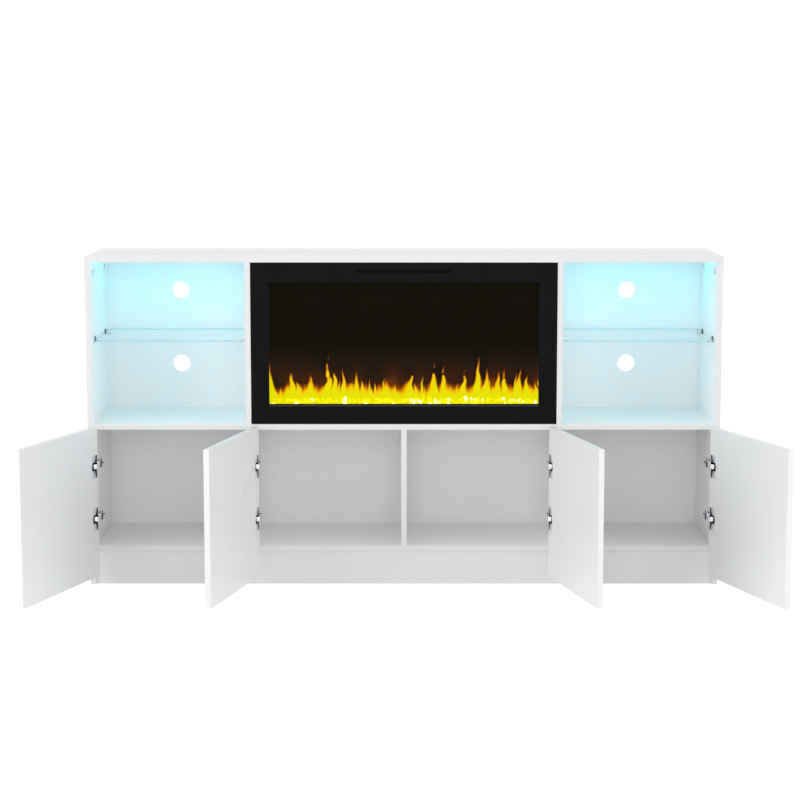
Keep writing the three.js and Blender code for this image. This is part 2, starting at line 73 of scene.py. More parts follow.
# %% Camera
LENS_MM = 97.2
LEVEL_DEG = 90
TILT_DEG = 7.99
CAMERA_AWAY = 6.0846
CAMERA_HEIGHT = 1.3302
SHIFT_X = -0.0049
SHIFT_Y = 0.025

front_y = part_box("top_board")[0].y
bpy.ops.object.camera_add(
    location=(0, front_y - CAMERA_AWAY, CAMERA_HEIGHT),
    rotation=(math.radians(LEVEL_DEG - TILT_DEG), 0, 0),
)
camera = bpy.context.object
camera.data.lens = LENS_MM
camera.data.shift_x = SHIFT_X
camera.data.shift_y = SHIFT_Y
bpy.context.scene.camera = camera
bpy.context.scene.view_settings.view_transform = "Standard"
print("camera at", tuple(round(part, 3) for part in camera.location), "lens", LENS_MM, "mm")

# %% [markdown]
# Colours are written as the hex values a paint chart would give. The renderer wants linear light,
# so one function turns them, by the sRGB rule. A second adds a node with its settings and links,
# and a third starts a material from its colour, roughness and metalness.

# %% Colours, nodes and materials
def linear(hex_colour):
    """A six-digit hex colour as linear red, green, blue and alpha."""
    channels = [int(hex_colour[i : i + 2], 16) / 255 for i in (0, 2, 4)]
    return [c / 12.92 if c <= 0.04045 else ((c + 0.055) / 1.055) ** 2.4 for c in channels] + [1]


def node(tree, kind, settings=(), inputs=()):
    """A shader node with its settings, and with its inputs set or linked.
    A node given as an input stands for its first output."""
    made = tree.nodes.new(kind)
    for name, value in dict(settings).items():
        setattr(made, name, value)
    for name, value in dict(inputs).items():
        if isinstance(value, bpy.types.Node):
            value = value.outputs[0]
        if isinstance(value, bpy.types.NodeSocket):
            tree.links.new(value, made.inputs[name])
        else:
            made.inputs[name].default_value = value
    return made


def material(name, hex_colour, roughness, metallic=0.0, **sockets):
    """A material whose shader has these values on its own sockets, and its tree and shader."""
    made = bpy.data.materials.new(name)
    made.use_nodes = True
    shader = made.node_tree.nodes["Principled BSDF"]
    shader.inputs["Base Color"].default_value = linear(hex_colour)
    shader.inputs["Roughness"].default_value = roughness
    shader.inputs["Metallic"].default_value = metallic
    for socket, value in sockets.items():
        shader.inputs[socket.replace("_", " ")].default_value = value
    return made, made.node_tree, shader


print("the middle grey 808080 is", round(linear("808080")[0], 3), "in linear light")

# %% [markdown]
# No real surface is quite even: its shade, its gloss and its height wander, over distances that
# belong to the way it was made. A painted picture could show that, but a noise has no seams and
# can be given its real size in millimetres, so one function makes it and a second lays it on a
# shader.

# %% Uneven surfaces
MIX = "ShaderNodeMix"
COLOURS = {"data_type": "RGBA"}
FIRST_COLOUR, SECOND_COLOUR, MIXED_COLOUR = 6, 7, 2  # places of the mix node's colour sockets


def mottle(tree, size_mm, detail=2.0, stretch=(1, 1, 1)):
    """Patches about size_mm across, on the object's own coordinates."""
    place = node(tree, "ShaderNodeTexCoord").outputs["Object"]
    scale = [share / (size_mm * MM) for share in stretch]
    mapped = node(tree, "ShaderNodeMapping", inputs={"Vector": place, "Scale": scale})
    noise = {"Vector": mapped, "Scale": 1.0, "Detail": detail}
    return node(tree, "ShaderNodeTexNoise", inputs=noise)


def uneven(parts, size_mm, shades=None, gloss=None, relief=None, detail=2.0, stretch=(1, 1, 1)):
    """The material, with a cloud between two shades, a sheen between two roughnesses, and its
    grain in relief: that has a real depth, and relief says how strongly it shows."""
    made, tree, shader = parts
    if shades:
        ends = {FIRST_COLOUR: linear(shades[0]), SECOND_COLOUR: linear(shades[1])}
        mix = node(tree, MIX, COLOURS, {"Factor": mottle(tree, size_mm["cloud"]), **ends})
        tree.links.new(mix.outputs[MIXED_COLOUR], shader.inputs["Base Color"])
    if gloss:
        sheen = mottle(tree, size_mm["sheen"], stretch=stretch)
        ends = {"Value": sheen, "To Min": gloss[0], "To Max": gloss[1]}
        spread = node(tree, "ShaderNodeMapRange", inputs=ends)
        tree.links.new(spread.outputs["Result"], shader.inputs["Roughness"])
    if relief:
        grain = mottle(tree, size_mm["grain"], detail, stretch)
        height = {"Height": grain, "Distance": size_mm["deep"] * MM, "Strength": relief}
        bumps = node(tree, "ShaderNodeBump", inputs=height)
        tree.links.new(bumps.outputs["Normal"], shader.inputs["Normal"])
    return made


print("a millimetre is", MM, "of Blender's units, so every pattern has its real size")

# %% [markdown]
# The boards are particleboard. The top and the doors carry a high-gloss foil pressed over board,
# so they mirror softly and show the faint waviness of the chips below. The carcass carries
# melamine paper, pressed with a fine pearl texture that scatters light. The back is painted
# hardboard, whose fibres leave longer, flatter marks. The real pearl is finer than half a
# millimetre and is drawn four times coarser here, because it wouldn't show in the render.

# %% Board finishes
FOIL_MM = {"grain": 9, "sheen": 27, "cloud": 270, "deep": 0.004}
FOIL_GLOSS_SPREAD = 0.1
FOIL_RELIEF = 0.5
PEARL_MM = {"grain": 2.2, "sheen": 8.8, "cloud": 198, "deep": 0.05}
PEARL_GLOSS = (0.36, 0.5)
PEARL_RELIEF = 0.7
FIBRE_MM = {"grain": 5, "cloud": 300, "deep": 0.06}
FIBRE_STRETCH = (0.35, 1, 1)
FIBRE_RELIEF = 0.6


def gloss_foil(name, dark_hex, light_hex, rough=0.26, specular=0.5):
    parts = material(name, light_hex, rough, Specular_IOR_Level=specular)
    gloss = rough, rough + FOIL_GLOSS_SPREAD
    return uneven(parts, FOIL_MM, (dark_hex, light_hex), gloss, FOIL_RELIEF, 1.0)


def melamine(name, dark_hex, light_hex):
    parts = material(name, light_hex, 0.42, Specular_IOR_Level=0.35)
    return uneven(parts, PEARL_MM, (dark_hex, light_hex), PEARL_GLOSS, PEARL_RELIEF)


def painted_hardboard(name, dark_hex, light_hex):
    parts = material(name, light_hex, 0.55, IOR=1.48)
    shades = dark_hex, light_hex
    return uneven(parts, FIBRE_MM, shades, None, FIBRE_RELIEF, 3.0, FIBRE_STRETCH)


DOOR_FOIL = gloss_foil("white_door_foil", "F2F2F3", "F5F5F5")
TOP_FOIL = gloss_foil("white_top_foil", "F7F7F8", "FAFAFA", 0.34, 0.2)
WHITE_MELAMINE = melamine("white_pearl_melamine", "F8F8F8", "FCFCFC")
# The plinth's greyer white is painted shade: it stands back under the bottom board, in its shadow.
PLINTH_SHADE_MELAMINE = melamine("plinth_melamine_painted_shade", "E8E8E9", "ECECED")
WHITE_HARDBOARD = painted_hardboard("white_painted_hardboard", "F8F8F9", "FCFCFC")
BOARD_FINISHES = (DOOR_FOIL, TOP_FOIL, WHITE_MELAMINE, PLINTH_SHADE_MELAMINE, WHITE_HARDBOARD)
print("boards:", [made.name for made in BOARD_FINISHES])

# %% [markdown]
# A board is cut from a faced sheet, and its raw front edge is closed by a glued band. The band comes from another
# roll than the face, and it is painted a slightly greyer white: partly the band's own tone, and partly painted
# shade that darkens the boards' front faces against their tops. It could be a strip of its own, but it is thinner
# than a millimetre, so the material tells it from the face by its place.

# %% Edge bands, with painted shade
EDGE_BAND_SHADE_MM = 0.9
# The band's grey is partly its own tone and partly painted shade on the front faces.
EDGE_BAND_SHADE_HEX = "E6E6E6"
MATH = "ShaderNodeMath"


def edge_band_and_shade(band_shaded):
    tree = band_shaded.node_tree
    colour = tree.nodes["Principled BSDF"].inputs["Base Color"]
    point = node(tree, "ShaderNodeTexCoord").outputs["Object"]
    depth = node(tree, "ShaderNodeSeparateXYZ", inputs={"Vector": point}).outputs["Y"]
    front = {0: depth, 1: front_y + EDGE_BAND_SHADE_MM * MM}
    # The mask of the front faces, which take the greyer band and its painted shade.
    band_shade_mask = node(tree, MATH, {"operation": "LESS_THAN"}, front)
    shades = {FIRST_COLOUR: colour.links[0].from_socket, SECOND_COLOUR: linear(EDGE_BAND_SHADE_HEX)}
    mix = node(tree, MIX, COLOURS, {"Factor": band_shade_mask, **shades})
    tree.links.new(mix.outputs[MIXED_COLOUR], colour)


for band_shaded in (TOP_FOIL, WHITE_MELAMINE):
    edge_band_and_shade(band_shaded)
    print(band_shaded.name, "has a band in front of y =", round(front_y + EDGE_BAND_SHADE_MM * MM, 4))

# %% [markdown]
# Metal keeps the default index and takes its look from colour and roughness. The hinges are
# stamped steel with a nickel plate, the shelf clips are plated zinc, the light channel is anodised
# aluminium, and the insert's inner sheet is galvanised, with its broad cloudy crystals. The marks
# that rolling leaves in the plated steel are drawn coarser than they are, so that they show.

# %% Metal finishes
ROLLED_STRETCH = (1, 1, 4)
PLATE_GLOSS_SHARES = (0.8, 1.3)
PLATE_DEEP_MM = 0.01
PLATE_RELIEF = 0.4


def plated(name, hex_colour, roughness, grain_mm):
    parts = material(name, hex_colour, roughness, 1.0)
    size_mm = {"sheen": grain_mm, "grain": grain_mm, "deep": PLATE_DEEP_MM}
    gloss = [share * roughness for share in PLATE_GLOSS_SHARES]
    return uneven(parts, size_mm, None, gloss, PLATE_RELIEF, stretch=ROLLED_STRETCH)


NICKEL = plated("nickel_plated_steel", "D6D8DC", 0.28, 1.2)
# A lighter copy of the nickel: a painted highlight on the hinge faces that catch the light.
NICKEL_PAINTED_HIGHLIGHT = plated("nickel_painted_highlight", "F1F2F4", 0.34, 1.2)
# Dark steel for the screws, and the same dark as painted shade on the hinges' shaded pieces and hollows.
DARK_STEEL_AND_SHADE = plated("blackened_steel_and_painted_shade", "4A4D52", 0.35, 1.2)
CLIP_PLATE = plated("plated_zinc", "D2D6DA", 0.18, 1.5)
ANODISED = plated("anodised_aluminium", "CDD0D3", 0.32, 0.8)
GALVANISED = plated("galvanised_sheet", "9DA1A5", 0.4, 14)
METALS = (NICKEL, NICKEL_PAINTED_HIGHLIGHT, DARK_STEEL_AND_SHADE, CLIP_PLATE, ANODISED, GALVANISED)
print("metals:", [made.name for made in METALS])

# %% [markdown]
# The insert's front is steel with black powder enamel, and its small housings are moulded ABS.
# Both are nearly black, so their own gloss would wash them out: the specular level is kept low, as
# it is on a textured black coat. The casing behind is a plainer, glossier coat, and the seals are
# rubber. The powder's orange peel is drawn about twice as coarse as it is.

# %% Black finishes
POWDER_MM = {"grain": 1.4, "sheen": 4.2, "cloud": 84, "deep": 0.03}
POWDER_SECOND_HEX = "131415"
POWDER_GLOSS_SHARES = (0.85, 1.15)
POWDER_RELIEF = 0.5


def black_coat(name, hex_colour, roughness, specular):
    parts = material(name, hex_colour, roughness, Specular_IOR_Level=specular)
    gloss = [share * roughness for share in POWDER_GLOSS_SHARES]
    return uneven(parts, POWDER_MM, (hex_colour, POWDER_SECOND_HEX), gloss, POWDER_RELIEF)


BLACK_ENAMEL = black_coat("black_powder_enamel", "0E0F10", 0.4, 0.04)
CASE_ENAMEL = black_coat("black_case_enamel", "1E1F21", 0.42, 0.4)
BLACK_ABS = black_coat("black_moulded_abs", "181818", 0.5, 0.3)
RUBBER = black_coat("black_rubber", "101112", 0.7, 0.2)
print("blacks:", [made.name for made in (BLACK_ENAMEL, CASE_ENAMEL, BLACK_ABS, RUBBER)])

# %% [markdown]
# Clear tempered glass lets the bay's light through and shows best at its polished edges, where the
# light that travels inside the pane comes out blue-green. So its face is nearly transparent, and
# its edge is a second, denser material. The window is the same sheet with a dark tint. The furnace
# and the rollers leave glass a little wavy, over a hand's width.

# %% Glass finishes
GLASS_IOR = 1.52
POLISHED = 0.03
ROLLER_MM = {"grain": 60, "deep": 0.004}
ROLLER_RELIEF = 0.2


def pane(name, hex_colour, alpha, specular=0.5):
    settings = {"IOR": GLASS_IOR, "Alpha": alpha, "Specular_IOR_Level": specular}
    parts = material(name, hex_colour, POLISHED, **settings)
    return uneven(parts, ROLLER_MM, relief=ROLLER_RELIEF, detail=1.0)


CLEAR_GLASS = pane("clear_tempered_glass", "CFF3F7", 0.08)
GLASS_EDGE = pane("polished_glass_edge", "7CCBDA", 0.34, 0.2)
TINTED_GLASS = pane("tinted_window_glass", "050505", 0.28, 0.08)
print("glass:", [made.name for made in (CLEAR_GLASS, GLASS_EDGE, TINTED_GLASS)])

# %% [markdown]
# Every new piece is made as by hand in Blender: a primitive is added at its size and place, then
# shaped in edit mode. Operators act on whatever is selected, so the selection is cleared first.
# The place of a piece goes into its mesh, and its object stays at the origin, as a CAD part's
# does.

# %% Add a block or a disc
def pick(obj):
    """Only this object is selected and active."""
    bpy.ops.object.select_all(action="DESELECT")
    obj.select_set(True)
    bpy.context.view_layer.objects.active = obj


def settle(obj, name):
    """The object's place goes into its mesh, and it gets its name."""
    obj.name = name
    obj.data.name = name
    pick(obj)
    bpy.ops.object.transform_apply(location=True, rotation=True, scale=True)
    return obj


def block(name, low, high):
    """A cube stretched from its lowest to its highest corner."""
    bpy.ops.object.select_all(action="DESELECT")
    middle = (Vector(low) + Vector(high)) / 2
    size = Vector(high) - Vector(low)
    bpy.ops.mesh.primitive_cube_add(size=1, location=middle, scale=size)
    return settle(bpy.context.object, name)


def disc(name, radius, low, high, along="Z", sides=32):
    """A round bar between two points that differ along one axis."""
    bpy.ops.object.select_all(action="DESELECT")
    turns = {"X": (0, math.pi / 2, 0), "Y": (math.pi / 2, 0, 0), "Z": (0, 0, 0)}
    ends = Vector(low), Vector(high)
    bpy.ops.mesh.primitive_cylinder_add(
        vertices=sides,
        radius=radius,
        depth=(ends[1] - ends[0]).length,
        location=(ends[0] + ends[1]) / 2,
        rotation=turns[along],
    )
    return settle(bpy.context.object, name)


# %% [markdown]
# A bare block never passes for a made thing. Its faces are picked in code, by where they are and which way they
# look, and are then inset, pushed or moved, and its sharp edges get a bevel as wide as the real one. The bevel is
# applied, so the mesh itself has it.

# %% Shape a piece
FACING = 0.9  # the cosine above which a face counts as looking one way
SMOOTH_BELOW_DEG = 40


def looks_up(centre, normal):
    return normal.z > FACING


def looks_back(centre, normal):
    return normal.y > FACING


def edit_faces(obj, chosen):
    """Edit mode with the faces that chosen(centre, normal) picks."""
    pick(obj)
    bpy.ops.object.mode_set(mode="EDIT")
    bpy.ops.mesh.select_mode(type="FACE")
    bpy.ops.mesh.select_all(action="DESELECT")
    bpy.ops.object.mode_set(mode="OBJECT")
    for face in obj.data.polygons:
        face.select = chosen(face.center, face.normal)
    bpy.ops.object.mode_set(mode="EDIT")


def leave_edit():
    bpy.ops.object.mode_set(mode="OBJECT")


def scale_faces(obj, chosen, by):
    edit_faces(obj, chosen)
    bpy.ops.transform.resize(value=by)
    leave_edit()


def move_faces(obj, chosen, by):
    edit_faces(obj, chosen)
    bpy.ops.transform.translate(value=by)
    leave_edit()


def round_edges(obj, width_mm, segments=2):
    """A bevel of real width on every sharp edge, applied."""
    pick(obj)
    bevel = obj.modifiers.new("edge", "BEVEL")
    bevel.width = width_mm * MM
    bevel.segments = segments
    bevel.limit_method = "ANGLE"
    bpy.ops.object.modifier_apply(modifier="edge")
    bpy.ops.object.shade_smooth_by_angle(angle=math.radians(SMOOTH_BELOW_DEG))
    return obj


def sink(obj, chosen, inset_mm, depth_mm):
    """The chosen faces are inset and pushed in along their normal."""
    edit_faces(obj, chosen)
    bpy.ops.mesh.inset(thickness=inset_mm * MM)
    push = {"value": -depth_mm * MM}
    bpy.ops.mesh.extrude_region_shrink_fatten(TRANSFORM_OT_shrink_fatten=push)
    leave_edit()
    return obj


print("edges under", SMOOTH_BELOW_DEG, "degrees are shaded smooth")

# %% [markdown]
# A finished piece gets its materials, is joined with the pieces that it is assembled from, rides
# on the body that carries it, and takes the place of the CAD nodes that it shows in finer form.
# What repeats is modelled once and copied. A mirrored copy comes out inside out and is turned
# back.

# %% Finish, join, copy and place
def paint(obj, *finishes):
    obj.data.materials.clear()
    for finish in finishes:
        obj.data.materials.append(finish)
    return obj


def weld_together(name, pieces):
    """Several pieces become one object that keeps their materials."""
    bpy.ops.object.select_all(action="DESELECT")
    for piece in pieces:
        piece.select_set(True)
    bpy.context.view_layer.objects.active = pieces[0]
    bpy.ops.object.join()
    whole = bpy.context.object
    whole.name = name
    whole.data.name = name
    return whole


def copy_of(obj, name, matrix):
    """A copy with its own mesh, moved by a matrix and turned right side out."""
    made = obj.copy()
    made.data = obj.data.copy()
    bpy.context.scene.collection.objects.link(made)
    made.name = name
    made.data.name = name
    made.data.transform(matrix)
    if matrix.determinant() < 0:
        made.data.flip_normals()
    return made


def place(obj, body, slot, replaced=()):
    """The piece rides on its body and stands for any nodes it replaces. The slot is not used."""
    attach(obj, body)
    if replaced:
        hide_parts(*replaced)
    return obj


def between(low, high, share):
    return low + (high - low) * share


print("the bodies that pieces can ride on:", [CARCASS, *sorted(joints)])

# %% [markdown]
# A sawn board is never knife sharp: its edge band is broken by half a millimetre, and that thin
# bright line is what tells the eye where one board ends. The CAD boards are left as they are and
# only get a live weld and bevel, with their finish.

# %% Dress the boards
EDGE_MM = 0.6
WELD_MM = 0.01
FINISH_OF = {
    "white_board": WHITE_MELAMINE,
    "white_gloss": TOP_FOIL,
    "door_white": DOOR_FOIL,
    "back_board": WHITE_HARDBOARD,
    "hinge_metal": NICKEL,
    "shelf_glass": CLEAR_GLASS,
    "clip_metal": CLIP_PLATE,
    "led_channel": ANODISED,
    "insert_black": BLACK_ENAMEL,
    "smoked_glass": TINTED_GLASS,
    "crystal": CLEAR_GLASS,
    "bright_metal": ANODISED,
    "plain_steel": GALVANISED,
    "black_plastic": BLACK_ABS,
}
FINISH_OF_NODE = {
    "heater_duct": BLACK_ENAMEL,
    "insert_casing": CASE_ENAMEL,
    # The plinth takes the greyer melamine, which is painted shade.
    "plinth": PLINTH_SHADE_MELAMINE,
}
SOFT_SLOTS = ("white_board", "white_gloss", "door_white")


def soften(name, width_mm=EDGE_MM):
    weld = nodes[name].modifiers.new("weld", "WELD")
    weld.merge_threshold = WELD_MM * MM
    bevel = nodes[name].modifiers.new("broken_edge", "BEVEL")
    bevel.width = width_mm * MM
    bevel.segments = 2
    bevel.limit_method = "ANGLE"
    bevel.harden_normals = True


for row in frame["record"]["subparts"]:
    finish = FINISH_OF_NODE.get(row["node"], FINISH_OF[row["material_slot"]])
    paint(nodes[row["node"]], finish)
    if row["material_slot"] in SOFT_SLOTS:
        soften(row["node"])
print(len(nodes), "CAD nodes dressed")

# %% [markdown]
# The side bays are lit by a cyan strip under the top board, hidden from the front by the board's
# edge. A real strip is a channel with a milky cover over its diodes. The cover is modelled as a
# long bar with a rounded belly, and it glows. Its light on the white walls colours the bays, which
# a tint on the walls would only fake.

# %% Light strips
LED_STRENGTH = 20
LED_HAZE_MM = {"cloud": 25}
COVER_MM = {"drop": 4, "sunk": 2, "short": 1, "belly": 1.6}
COVER_SHARE = 0.6
BELLY_STEPS = 4

led_parts = material("cyan_diffuser", "9FF6FF", 0.4)
led_glow = uneven(led_parts, LED_HAZE_MM, ("8CEFFA", "9FF6FF"))
led_shader = led_parts[-1]
led_shader.inputs["Emission Color"].default_value = linear("00E8FF")
led_shader.inputs["Emission Strength"].default_value = LED_STRENGTH


def light_strip(side):
    low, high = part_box("led_strip_" + side)
    middle = (low.y + high.y) / 2
    half = (high.y - low.y) / 2 * COVER_SHARE
    short = COVER_MM["short"] * MM
    cover = block(
        "led_cover_" + side,
        (low.x + short, middle - half, low.z - COVER_MM["drop"] * MM),
        (high.x - short, middle + half, low.z + COVER_MM["sunk"] * MM),
    )
    round_edges(cover, COVER_MM["belly"], BELLY_STEPS)
    place(paint(cover, led_glow), CARCASS, "led_channel")
    print(cover.name, "is", round(cover.dimensions.x / MM), "mm long")


for side in ("left", "right"):
    light_strip(side)

# %% [markdown]
# Each glass shelf is cut from sheet, and its arrises are ground so that nobody is cut. A bevel
# makes that ground edge, and the narrow faces that it leaves take the denser edge glass.

# %% Glass shelves
ARRIS_MM = 0.8


def glass_shelf(side):
    name = "glass_shelf_" + side
    shelf = round_edges(block(name + "_pane", *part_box(name)), ARRIS_MM)
    paint(shelf, CLEAR_GLASS, GLASS_EDGE)
    for face in shelf.data.polygons:
        face.material_index = 0 if abs(face.normal.z) > FACING else 1
    place(shelf, CARCASS, "shelf_glass", [name])
    print(shelf.name, [round(size / MM) for size in shelf.dimensions], "mm")


for side in ("left", "right"):
    glass_shelf(side)

# %% [markdown]
# The shelf clips are small plated jaws. Close up one sees a dark rubber sleeve round the clip's
# back and a screw that pinches the glass from below, so each clip gets those. A screw head starts
# as a disc, its edge is rounded, and its recess is sunk into the face that looks outwards.

# %% Shelf clips
SLEEVE_MM = {"long": 3.5, "over": 0.4, "round": 0.4}
PINCH_MM = {"radius": 3.4, "from_wall": 12, "proud": 1.8}
CLIP_ROUND_MM = 0.5
HEAD_MM = {"round": 0.3, "recess": 0.5}
HEAD_SIDES = 24
SQUARE_ON = 0.95
RECESS_INSET_SHARE = 0.4


def screw_head(name, size_mm, spot, along="Y", way=1):
    """A round head with a pressed recess, that stands on a spot and looks along an axis."""
    out = Vector([way * (axis == along) for axis in "XYZ"])
    tip = spot + out * size_mm["proud"] * MM
    head = disc(name, size_mm["radius"] * MM, spot, tip, along, HEAD_SIDES)
    round_edges(head, HEAD_MM["round"])
    inset_mm = size_mm["radius"] * RECESS_INSET_SHARE
    return sink(head, lambda _, normal: normal.dot(out) > SQUARE_ON, inset_mm, HEAD_MM["recess"])


def shelf_clip(name):
    low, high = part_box(name)
    soften(name, CLIP_ROUND_MM)
    on_left = (low.x < 0) == ("outer" in name)
    wall, into = (low.x, 1) if on_left else (high.x, -1)
    reach = sorted((wall, wall + into * SLEEVE_MM["long"] * MM))
    over = SLEEVE_MM["over"] * MM
    corners = (reach[0], low.y - over, low.z - over), (reach[1], high.y + over, high.z + over)
    sleeve = round_edges(block(name + "_sleeve", *corners), SLEEVE_MM["round"])
    place(paint(sleeve, RUBBER), CARCASS, "clip_metal")
    spot = Vector((wall + into * PINCH_MM["from_wall"] * MM, (low.y + high.y) / 2, low.z))
    screw = screw_head(name + "_screw", PINCH_MM, spot, "Z", -1)
    place(paint(screw, DARK_STEEL_AND_SHADE), CARCASS, "clip_metal")


CLIPS = sorted(name for name in nodes if name.startswith("shelf_clip"))
for name in CLIPS:
    shelf_clip(name)
print(len(CLIPS), "shelf clips with a sleeve and a screw")

# %% [markdown]
# A concealed hinge has three parts. The cup is pressed into a round pocket in the door and held by
# a flange with two screws. The arm clips on a plate that is screwed to the board. Between them run
# two curved links. We model one hinge at the origin, for a board whose face looks along +X, and
# copy it to all eight places, mirrored for the doors that are hung on the right. Here come the
# plate, which is a block whose ends are drawn in, and the arm, a bar that drops to the plate
# towards its heel.

# %% The hinge's plate and arm
PLATE_MM = {"thick": 2.5, "front": 22, "back": 58, "half": 17, "round": 0.7}
PLATE_TAPER = 0.55
ARM_MM = {"inner": 7.5, "outer": 21, "nose": 1, "shoulder": 12, "heel": 58, "half": 8.5}
ARM_CUTS = 3
ARM_DROP_RATE = 2.2
ARM_SLOPE_MM = 3
ARM_ROUND_MM = 0.5
TOP_SHARE = 0.6
GROOVE_MM = {"half": 4, "start": 20, "inset": 0.8, "deep": 0.9}
GROOVE_FACING = 0.7


def hinge_plate():
    low = (0, PLATE_MM["front"] * MM, -PLATE_MM["half"] * MM)
    high = (PLATE_MM["thick"] * MM, PLATE_MM["back"] * MM, PLATE_MM["half"] * MM)
    plate = block("plate", low, high)
    scale_faces(plate, lambda centre, normal: abs(normal.z) > FACING, (1, PLATE_TAPER, 1))
    return paint(round_edges(plate, PLATE_MM["round"]), NICKEL)


def in_groove(centre, normal):
    on_top = normal.x > GROOVE_FACING and centre.y > GROOVE_MM["start"] * MM
    return on_top and abs(centre.z) < GROOVE_MM["half"] * MM


def hinge_channel():
    """The arm: a channel that comes up from the plate and runs forward to a rounded nose."""
    low = (ARM_MM["inner"] * MM, ARM_MM["nose"] * MM, -ARM_MM["half"] * MM)
    high = (ARM_MM["outer"] * MM, ARM_MM["heel"] * MM, ARM_MM["half"] * MM)
    arm = block("channel", low, high)
    pick(arm)
    bpy.ops.object.mode_set(mode="EDIT")
    bpy.ops.mesh.select_all(action="SELECT")
    bpy.ops.mesh.subdivide(number_cuts=ARM_CUTS)
    leave_edit()
    run = (ARM_MM["heel"] - ARM_MM["shoulder"]) * MM
    drop = (ARM_MM["inner"] - PLATE_MM["thick"]) * MM
    for vertex in arm.data.vertices:
        back = max(0, (vertex.co.y - ARM_MM["shoulder"] * MM) / run)
        vertex.co.x -= min(1, ARM_DROP_RATE * back) * drop
        if vertex.co.x > ARM_MM["outer"] * MM * TOP_SHARE:
            vertex.co.x -= back * ARM_SLOPE_MM * MM
    sink(arm, in_groove, GROOVE_MM["inset"], GROOVE_MM["deep"])
    return paint(round_edges(arm, ARM_ROUND_MM), NICKEL)


arm_pieces = [hinge_channel(), hinge_plate()]
print("plate and arm", [len(piece.data.polygons) for piece in arm_pieces], "faces")

# %% [markdown]
# Two screws hold the plate, and two more in the arm set the door's place. The front end of the arm is what the eye
# sees first in an open cabinet: a face across the nose in a lighter nickel, which is a painted highlight, with an
# end beside it, a sprung hook above and a heel at the back, all dark as painted shade on the arm's sides and in
# its gaps. They are small blocks, which is all that their size can show.

# %% The hinge's screws and nose
PLATE_SCREW_MM = {"up": 11.5, "behind": 38, "radius": 3, "proud": 1.8}
ARM_SCREW_MM = {"below": 2.5, "behind": (16, 44), "radius": 2.8, "proud": 2.6}
NOSE_FACE_MM = ((1, 0.4, -6), (17, 1.6, 6))
NOSE_FACE_ROUND_MM = 0.4
# Blocks painted dark as shade: the arm's end, hook and heel.
SHADE_PIECES_MM = {
    "end": ((17, 0.4, -8.5), (21.5, 10, 8.5)),
    "hook": ((10, 3, 8.5), (13.5, 7, 16)),
    "heel": ((4, 54, -7), (15, 59, 7)),
}
SHADE_PIECE_ROUND_MM = 1
HOOK_LEAN_MM = 2.5


def arm_screws():
    heads = []
    for way in (-1, 1):
        spot = PLATE_MM["thick"], PLATE_SCREW_MM["behind"], way * PLATE_SCREW_MM["up"]
        heads.append(screw_head("plate_screw", PLATE_SCREW_MM, Vector(spot) * MM, "X"))
    for behind in ARM_SCREW_MM["behind"]:
        spot = ARM_MM["outer"] - ARM_SCREW_MM["below"], behind, 0
        heads.append(screw_head("arm_screw", ARM_SCREW_MM, Vector(spot) * MM, "X"))
    return [paint(head, DARK_STEEL_AND_SHADE) for head in heads]


def nose_pieces():
    face = block("face", *(Vector(corner) * MM for corner in NOSE_FACE_MM))
    # The nose's face takes the lighter nickel, a painted highlight, and the other blocks the dark steel, painted
    # shade.
    made = [paint(round_edges(face, NOSE_FACE_ROUND_MM), NICKEL_PAINTED_HIGHLIGHT)]
    for name, corners in SHADE_PIECES_MM.items():
        piece = block(name, *(Vector(corner) * MM for corner in corners))
        if name == "hook":
            move_faces(piece, looks_up, (-HOOK_LEAN_MM * MM, 0, 0))
        made.append(paint(round_edges(piece, SHADE_PIECE_ROUND_MM), DARK_STEEL_AND_SHADE))
    return made


arm_pattern = weld_together("arm_pattern", [*arm_pieces, *arm_screws(), *nose_pieces()])
print("hinge arm", len(arm_pattern.data.polygons), "faces")

# %% [markdown]
# The cup is turned from a disc by insetting its top face and pushing it in, which leaves the thin wall and the
# floor; its inside is painted dark, as painted shade in the hollow. The flange is a plate with rounded ends, and
# its two screws stand on it. Its wings take the lighter nickel, a painted highlight, and the raised rib on each
# wing is painted dark, as painted shade. It is modelled with the door shut, with the flange's face at the origin
# and the mouth towards the cabinet.

# %% The hinge cup, modelled once
CUP_MM = {"radius": 17.5, "depth": 10.6, "wall": 1.2, "floor": 1, "flange": 1.2, "round": 0.3}
CUP_SIDES = 48
WING_MM = {"start": 12, "end": 32.5, "half": 14, "round": 0.4}
RIB_MM = {"proud": 0.4, "round": 0.2}
RIB_TAPER = 0.45
RIB_ASIDE_SHARE = 0.27
CUP_SCREW_MM = {"aside": 2, "out": 26, "radius": 3.4, "proud": 1.4}


def cup_shell():
    """The cup about the origin, its flange's face on y = 0 and its mouth towards +Y."""
    bottom, top = (0, -CUP_MM["depth"] * MM, 0), (0, CUP_MM["flange"] * MM, 0)
    cup = disc("cup", CUP_MM["radius"] * MM, bottom, top, "Y", CUP_SIDES)
    depth = CUP_MM["depth"] + CUP_MM["flange"] - CUP_MM["floor"]
    sink(cup, looks_back, CUP_MM["wall"], depth)
    # The cup's inside takes the dark steel, as painted shade in its hollow.
    paint(cup, NICKEL, DARK_STEEL_AND_SHADE)
    inside = (CUP_MM["radius"] - CUP_MM["wall"] / 2) * MM
    above = -(CUP_MM["depth"] - CUP_MM["floor"] / 2) * MM
    for face in cup.data.polygons:
        reach = math.hypot(face.center.x, face.center.z)
        face.material_index = 1 if reach < inside and face.center.y > above else 0
    return round_edges(cup, CUP_MM["round"])


